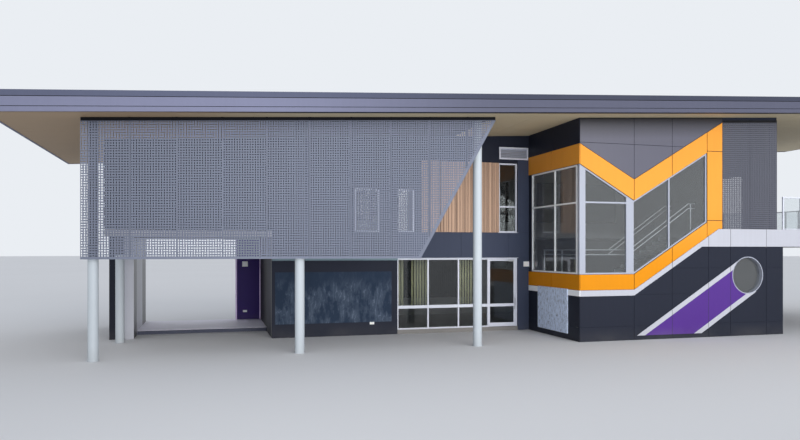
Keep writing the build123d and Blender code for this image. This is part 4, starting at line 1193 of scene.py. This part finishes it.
class SCHOOL_OT_folded_band(SchoolOperator):
    """Make the orange sheets of the folded band"""

    bl_idname = "school.folded_band"
    bl_label = "Folded band"

    def execute(self, context):
        gap = 1.6 * sizes().sheet_gap
        middle = BAY_JOINTS[1]
        leg_low, leg_high = FLOOR + 4.342, FLOOR + 7.018
        slab_start = FOLD + (SLAB_TOP - BAND_FOOT) / LOW_RISE

        def climbing(x0, x1, foot, head, rise):
            """Corners of a piece whose foot and head climb alike from the fold."""
            start, end = rise * (x0 - FOLD), rise * (x1 - FOLD)
            return [(x0, foot + start), (x1, foot + end), (x1, head + end), (x0, head + start)]

        leg_foot = climbing(LEG_LEFT, LEG_RIGHT, BAND_FOOT, WINDOW_FOOT, LOW_RISE)[0]
        leg_head = climbing(LEG_LEFT, LEG_RIGHT, FOLD_FOOT, FOLD_TOP, HIGH_RISE)[2:]
        leg_joint = [(LEG_RIGHT, leg_low), (LEG_LEFT, leg_low)]
        pieces = [
            [(BAY_LEFT, CORNER_FOOT), (FOLD, FOLD_FOOT), (FOLD, FOLD_TOP), (BAY_LEFT, CORNER_TOP)],
            box_outline(BAY_LEFT, FOLD, BAND_FOOT, WINDOW_FOOT),
            [leg_foot, (slab_start, SLAB_TOP), (LEG_RIGHT, SLAB_TOP), *leg_joint],
            box_outline(LEG_LEFT, LEG_RIGHT, leg_low, leg_high),
            [(LEG_LEFT, leg_high), (LEG_RIGHT, leg_high), *leg_head],
        ]
        for x0, x1 in ((FOLD, middle), (middle, LEG_LEFT)):
            pieces.append(climbing(x0, x1, FOLD_FOOT, FOLD_TOP, HIGH_RISE))
            pieces.append(climbing(x0, x1, BAND_FOOT, WINDOW_FOOT, LOW_RISE))
        parts = [
            plate(drawn_in(np.array(piece), gap / 2), (0, BAY_WALL, 0), FRONT, BAY_WALL - BAY_FRONT)
            for piece in pieces
        ]
        fold = -RECESS + 2.00
        for u0, u1 in ((-RECESS, fold), (fold, -BAY_FRONT)):
            for z0, z1 in ((BAND_FOOT, WINDOW_FOOT), (CORNER_FOOT, CORNER_TOP)):
                side = drawn_in(box_outline(u0, u1, z0, z1), gap / 2)
                parts.append(plate(side, (BAY_LEFT, 0, 0), LEFT, BAY_WALL - BAY_FRONT))
        add_piece("folded_band", parts, "orange sheet", replaced=["orange_band"])
        return {"FINISHED"}


class SCHOOL_OT_blinds(SchoolOperator):
    """Hang upright slats behind the classroom's fixed panes"""

    bl_idname = "school.blinds"
    bl_label = "Blinds"

    def execute(self, context):
        low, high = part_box("classroom_frame")
        pane = (high.x - low.x) / 3
        width = sizes().blind_width
        head, rail = high.z - 0.07, 0.04
        y = high.y + 0.16
        parts = []
        # Start and end of each blind, counted in panes
        for start, end in ((0.0, 0.26), (0.50, 1.0), (2.02, 2.72)):
            x0, x1 = low.x + start * pane, low.x + end * pane
            parts.append(block((x0, y - rail / 2, head), (x1, y + rail / 2, head + rail)))
            for middle in np.arange(x0 + width / 2, x1, width * 0.92):
                parts.append(self.slat(middle, y, FLOOR + 0.95, head, width))
        add_piece("classroom_blinds", parts, "blind slat", smooth=True)
        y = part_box("back_wall")[0].y - 0.10
        step, turn = width * 0.82, 8
        parts = [
            self.slat(middle, y, FLOOR + 0.85, head, width, turn)
            for middle in np.arange(low.x - 3 * width, high.x + 16 * width, step)
        ]
        wall, windows, before, after = 0.25, 8, 0.95, 1.0
        foot, top = UPPER + 0.70, UPPER + 2.75
        start = END_LEFT + wall
        pitch = (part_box("bay_screen")[1].x - wall - start) / windows
        for window in range(windows):
            middle = start + (window + 0.5) * pitch
            for x in np.arange(middle - before, middle + after, step):
                parts.append(self.slat(x, y, foot, top, width, turn))
        add_piece("back_blinds", parts, "back blind", smooth=True)
        return {"FINISHED"}

    def slat(self, x, y, foot, head, width, turn=34):
        """Thin bowed strip: across it the bow is 8 mm times 1 - (2 s - 1) squared, up it s is constant.

        The strip stands turned by some degrees about its middle and has a back 1 mm behind.
        """
        s, t = np.meshgrid(np.linspace(0, 1, 7), np.linspace(0, 1, 3), indexing="ij")
        across = (s - 0.5) * width
        bow = 0.008 * (1 - (2 * s - 1) ** 2)
        turn = math.radians(turn)
        layers = []
        for back in (0.0, 0.001):
            px = x + across * math.cos(turn) - (bow + back) * math.sin(turn)
            py = y + across * math.sin(turn) + (bow + back) * math.cos(turn)
            layers.append(np.stack([px, py, foot + t * (head - foot)], -1).reshape(-1, 3))
        i, j = np.meshgrid(np.arange(6), np.arange(2), indexing="ij")
        a = (i * 3 + j).ravel()
        front = np.stack([a, a + 3, a + 4, a + 1], 1)
        around = np.concatenate([np.arange(7) * 3, [19, 20], np.arange(5, -1, -1) * 3 + 2, [1]])
        after = np.roll(around, -1)
        edge = np.stack([around + 21, after + 21, after, around], 1)
        faces = np.concatenate([front, (front + 21)[:, ::-1], edge])
        return np.concatenate(layers), faces.tolist()


class SCHOOL_OT_screen_fixings(SchoolOperator):
    """Make the angle clips that hold the long screen at its seams"""

    bl_idname = "school.screen_fixings"
    bl_label = "Screen fixings"

    def execute(self, context):
        low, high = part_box("screen_panels")
        half, metal, leg, arm = 0.04, 0.008, 0.10, 0.03
        near = low.y + 0.004
        far = near + metal
        parts = []
        for x in np.arange(low.x + SEAM, high.x, SEAM):
            top = soffit(x) - 0.01
            parts.append(block((x - half, near, top - leg), (x + half, far, top)))
            parts.append(block((x - half, far, top - arm), (x + half, high.y, top - arm + metal)))
        add_piece("screen_clips", parts, "black gasket")
        return {"FINISHED"}


class SCHOOL_OT_trims(SchoolOperator):
    """Make flashings, jambs, door hardware, rims of small fittings and column collars"""

    bl_idname = "school.trims"
    bl_label = "Trims"

    def execute(self, context):
        self.flashings()
        self.jambs()
        self.door_parts()
        self.fittings()
        self.column_collars()
        return {"FINISHED"}

    def flashings(self):
        """Thin folded strips under the upper window and over the classroom's glazing."""
        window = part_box("upper_window_frames")[1].x
        low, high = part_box("classroom_frame")
        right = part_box("door_frame")[1].x
        strips = [
            ((window - 0.87, RECESS - 0.035, UPPER - 0.012), (window + 0.01, RECESS + 0.07, UPPER + 0.004)),
            ((low.x - 0.02, RECESS - 0.03, high.z + 0.001), (right + 0.02, RECESS + 0.06, high.z + 0.02)),
        ]
        parts = [block(*strip) for strip in strips]
        add_piece("window_flashings", parts, "frame paint")

    def jambs(self):
        """Pale edges of the passage's purple wall."""
        low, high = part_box("purple_wall")
        proud, width, clear = 0.012, 0.05, 0.002
        top = high.z - clear
        parts = [
            block((low.x - proud, low.y - proud, FLOOR), (low.x + width, high.y, top)),
            block((high.x - width, low.y - proud, FLOOR), (high.x - clear, low.y + 0.02, top)),
        ]
        add_piece("passage_jambs", parts, "lilac edge")

    def door_parts(self):
        """Lock case, cylinder and closer on the door, kept on the door's body."""
        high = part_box("classroom_door")[1]
        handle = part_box("door_handle")
        x, z = (handle[0].x + handle[1].x) / 2, handle[0].z
        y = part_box("classroom_frame")[0].y
        half, radius, cylinder = 0.022, 0.011, z - 0.09
        parts = [
            block((x - half, y - 0.004, z - 0.16), (x + half, y + 0.002, z - 0.02)),
            tube([(x, y - 0.018, cylinder), (x, y + 0.001, cylinder)], radius, 16),
            block((high.x - 0.34, y - 0.045, high.z - 0.075), (high.x - 0.08, y + 0.001, high.z - 0.02)),
        ]
        add_piece("door_lock_and_closer", parts, "brushed steel", body=DOOR)

    def fittings(self):
        """Raised rims of the wall lights and sockets."""
        parts = []
        lip, width = 0.006, 0.018
        for name, depth in (("wall_lights", 0.03), ("wall_sockets", 0.012)):
            mesh = NODES[name].data
            points = np.zeros(len(mesh.vertices) * 3)
            mesh.vertices.foreach_get("co", points)
            points = points.reshape(-1, 3)
            split = (points[:, 0].min() + points[:, 0].max()) / 2
            for half in (points[points[:, 0] < split], points[points[:, 0] >= split]):
                low, high = half.min(0), half.max(0)
                outline = box_outline(low[0] - lip, high[0] + lip, low[2] - lip, high[2] + lip)
                parts.append(rim(outline, width, (0, high[1], 0), FRONT, depth))
        add_piece("fitting_rims", parts, "frame paint")

    def column_collars(self):
        """Low collars round the feet of the front columns: a square profile carried round a circle."""
        radius, first, spacing, sides = 0.155, 0.311, 6.215, 40
        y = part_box("columns")[0].y + radius
        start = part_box("screen_panels")[0].x + first
        turn = np.linspace(0, 2 * np.pi, sides, endpoint=False)
        ring = np.stack([np.cos(turn), np.sin(turn)], 1)
        profile = np.array([(radius, 0.0), (0.168, 0.0), (0.168, 0.035), (0.163, 0.04), (radius, 0.04)])
        i, j = np.meshgrid(np.arange(sides), np.arange(5), indexing="ij")
        n, m = (i + 1) % sides, (j + 1) % 5
        faces = np.stack([i * 5 + j, n * 5 + j, n * 5 + m, i * 5 + m], -1).reshape(-1, 4).tolist()
        parts = []
        for index in range(3):
            flat = profile[None, :, :1] * ring[:, None, :] + (start + index * spacing, y)
            height = np.broadcast_to(GROUND + profile[None, :, 1:], (sides, 5, 1))
            parts.append((np.concatenate([flat, height], axis=2).reshape(-1, 3), faces))
        add_piece("column_collars", parts, "column paint")


class SCHOOL_OT_recess_sheets(SchoolOperator):
    """Make the cladding sheets of the recessed front"""

    bl_idname = "school.recess_sheets"
    bl_label = "Recess sheets"

    def execute(self, context):
        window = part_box("upper_window_frames")
        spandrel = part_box("spandrel_wall")
        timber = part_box("timber_cladding")
        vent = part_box("louvre_vent")
        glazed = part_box("classroom_frame")
        right = spandrel[1].x
        metal = sizes().sheet_metal
        parts = []

        def sheets(x0, x1, heights):
            """Sheets between two uprights, cut off under the roof."""
            for outline in sheet_grid([x0, x1], [heights]):
                top = min(soffit(x0), soffit(x1))
                outline[:, 1] = np.minimum(outline[:, 1], top)
                parts.append(plate(outline, (0, RECESS, 0), FRONT, metal))

        # Under the timber and the window, beside them, and over the classroom door
        first_joint, second_joint = -3.63, -1.53
        joints = [glazed[0].x, first_joint, second_joint, BAY_LEFT]
        for x0, x1 in zip(joints[:-1], joints[1:]):
            sheets(x0, x1, [spandrel[0].z, UPPER])
        sheets(window[1].x, BAY_LEFT, [UPPER, vent[0].z])
        sheets(right, BAY_LEFT, [GROUND, spandrel[0].z])
        add_piece("slate_sheets", parts, "slate sheet")
        parts.clear()
        sheets(timber[0].x, vent[0].x, [timber[1].z, soffit(timber[0].x)])
        sheets(vent[0].x, BAY_LEFT, [vent[1].z, soffit(vent[0].x)])
        add_piece("recess_sheets", parts, "charcoal sheet")
        return {"FINISHED"}


class SCHOOL_OT_soffit(SchoolOperator):
    """Make the lining sheets under the roof"""

    bl_idname = "school.soffit"
    bl_label = "Soffit sheets"

    def execute(self, context):
        low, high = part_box("soffit_lining")
        gap, metal, columns, rows = 0.010, 0.008, 16, 4
        length = (high.x - low.x) / math.cos(PITCH)
        across = np.linspace(0, length, columns + 1)
        along = np.linspace(low.y, high.y, rows + 1)
        parts = []
        for a0, a1 in zip(across[:-1], across[1:]):
            for b0, b1 in zip(along[:-1], along[1:]):
                outline = box_outline(a0 + gap / 2, a1 - gap / 2, -b1 + gap / 2, -b0 - gap / 2)
                parts.append(plate(outline, (low.x, 0, low.z), UNDER, metal))
        add_piece("soffit_sheets", parts, "soffit sheet")
        return {"FINISHED"}


class SCHOOL_OT_stage(SchoolOperator):
    """Make the floor, the light and the camera"""

    bl_idname = "school.stage"
    bl_label = "Stage"

    def execute(self, context):
        self.floor()
        self.light()
        self.camera()
        bpy.context.scene.view_settings.view_transform = "Standard"
        return {"FINISHED"}

    def floor(self):
        """Disc of 400 m that is level to its rim: radius times (cos, sin) of the angle."""
        sides, level = 96, GROUND - 0.002
        turn = np.linspace(0, 2 * np.pi, sides, endpoint=False)
        circle = np.column_stack([np.cos(turn), np.sin(turn)])
        points = at_heights([(radius * circle, level) for radius in (60.0, 400.0)])
        k = np.arange(sides)
        n = np.roll(k, -1)
        faces = [k.tolist()] + np.stack([k, k + sides, n + sides, n], 1).tolist()
        mesh = bpy.data.meshes.new("floor")
        mesh.from_pydata(points.tolist(), [], faces)
        mesh.update()
        scene_object("floor", mesh)
        material, tree, surface = new_material("studio floor")
        tone = mixed(tree, noise(tree, places(tree), 0.05, 2.0), opaque(214, 215, 218), opaque(220, 221, 224))
        feed(tree, surface, {"Base Color": tone, "Roughness": 0.9, "Specular IOR Level": 0.1})
        mesh.materials.append(material)

    def light(self):
        """Even world light, pale where the camera and reflections see it, and one soft sun."""
        world = bpy.data.worlds.new("studio")
        bpy.context.scene.world = world
        world.use_nodes = True
        tree = world.node_tree
        tree.nodes.clear()
        path = node(tree, "ShaderNodeLightPath").outputs
        seen = maths(tree, "MAXIMUM", path["Is Camera Ray"], path["Is Glossy Ray"])
        seen = maths(tree, "MAXIMUM", seen, path["Is Transmission Ray"])
        lit = node(tree, "ShaderNodeBackground", {"Color": (0.90, 0.94, 1.0, 1), "Strength": 0.76})
        shown = node(tree, "ShaderNodeBackground", {"Color": colour("backdrop"), "Strength": 1.0})
        both = node(tree, "ShaderNodeMixShader", {0: seen, 1: lit.outputs[0], 2: shown.outputs[0]})
        node(tree, "ShaderNodeOutputWorld", {"Surface": both.outputs[0]})
        sun = bpy.data.lights.new("sun", "SUN")
        sun.energy = 1.1
        sun.angle = math.radians(40)
        sun.color = (1.0, 0.97, 0.92)
        scene_object("sun", sun).rotation_euler = (math.radians(75), 0, math.radians(12))
        fill = bpy.data.lights.new("fill", "AREA")
        fill.shape = "RECTANGLE"
        fill.size, fill.size_y = 32.0, 3.0
        fill.energy = 880
        fill.spread = math.radians(70)
        lamp = scene_object("fill", fill)
        lamp.location = (-1.0, -25.5, GROUND + 3.2)
        lamp.rotation_euler = (math.radians(95), 0, 0)
        lamp.visible_camera = False
        lamp.visible_glossy = False
        lamp.visible_transmission = False

    def camera(self):
        """Level camera on the photograph's station, turned to the right of the front's normal."""
        focal, wide, below, film = 682, 800, 30, 36.0
        eye = bpy.data.cameras.new("camera")
        eye.sensor_width = film
        eye.lens = focal / wide * film
        eye.shift_y = below / wide
        eye.clip_end = 1000
        camera = scene_object("camera", eye)
        camera.location = (-13.570, RECESS - 26.290, 3.360)
        camera.rotation_euler = (math.radians(90), 0, -math.radians(15.6))
        bpy.context.scene.camera = camera


OPERATORS = [
    SCHOOL_OT_finishes,
    SCHOOL_OT_screen,
    SCHOOL_OT_bay_screen,
    SCHOOL_OT_timber,
    SCHOOL_OT_bay_sheets,
    SCHOOL_OT_folded_band,
    SCHOOL_OT_blinds,
    SCHOOL_OT_screen_fixings,
    SCHOOL_OT_trims,
    SCHOOL_OT_recess_sheets,
    SCHOOL_OT_soffit,
    SCHOOL_OT_stage,
]


class SCHOOL_PT_panel(bpy.types.Panel):
    """Lists the building's pieces in the sidebar."""

    bl_label = "School building"
    bl_idname = "SCHOOL_PT_panel"
    bl_space_type = "VIEW_3D"
    bl_region_type = "UI"
    bl_category = "School"

    def draw(self, context):
        for operator in OPERATORS:
            self.layout.operator(operator.bl_idname)
        for group in (context.scene.school_sizes, context.scene.school_colours):
            for name in group.bl_rna.properties.keys():
                if name not in ("rna_type", "name"):
                    self.layout.prop(group, name)


CLASSES = [SchoolSizes, SchoolColours, *OPERATORS, SCHOOL_PT_panel]


def register():
    """Register the classes, and give the scene its sizes and colours."""
    for one in CLASSES:
        bpy.utils.register_class(one)
    bpy.types.Scene.school_sizes = PointerProperty(type=SchoolSizes)
    bpy.types.Scene.school_colours = PointerProperty(type=SchoolColours)


def unregister():
    """Take the sizes, colours and classes away again."""
    del bpy.types.Scene.school_colours
    del bpy.types.Scene.school_sizes
    for one in reversed(CLASSES):
        bpy.utils.unregister_class(one)


def main():
    """Register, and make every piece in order."""
    register()
    for operator in OPERATORS:
        group, name = operator.bl_idname.split(".")
        getattr(getattr(bpy.ops, group), name)()


if __name__ == "__main__":
    main()
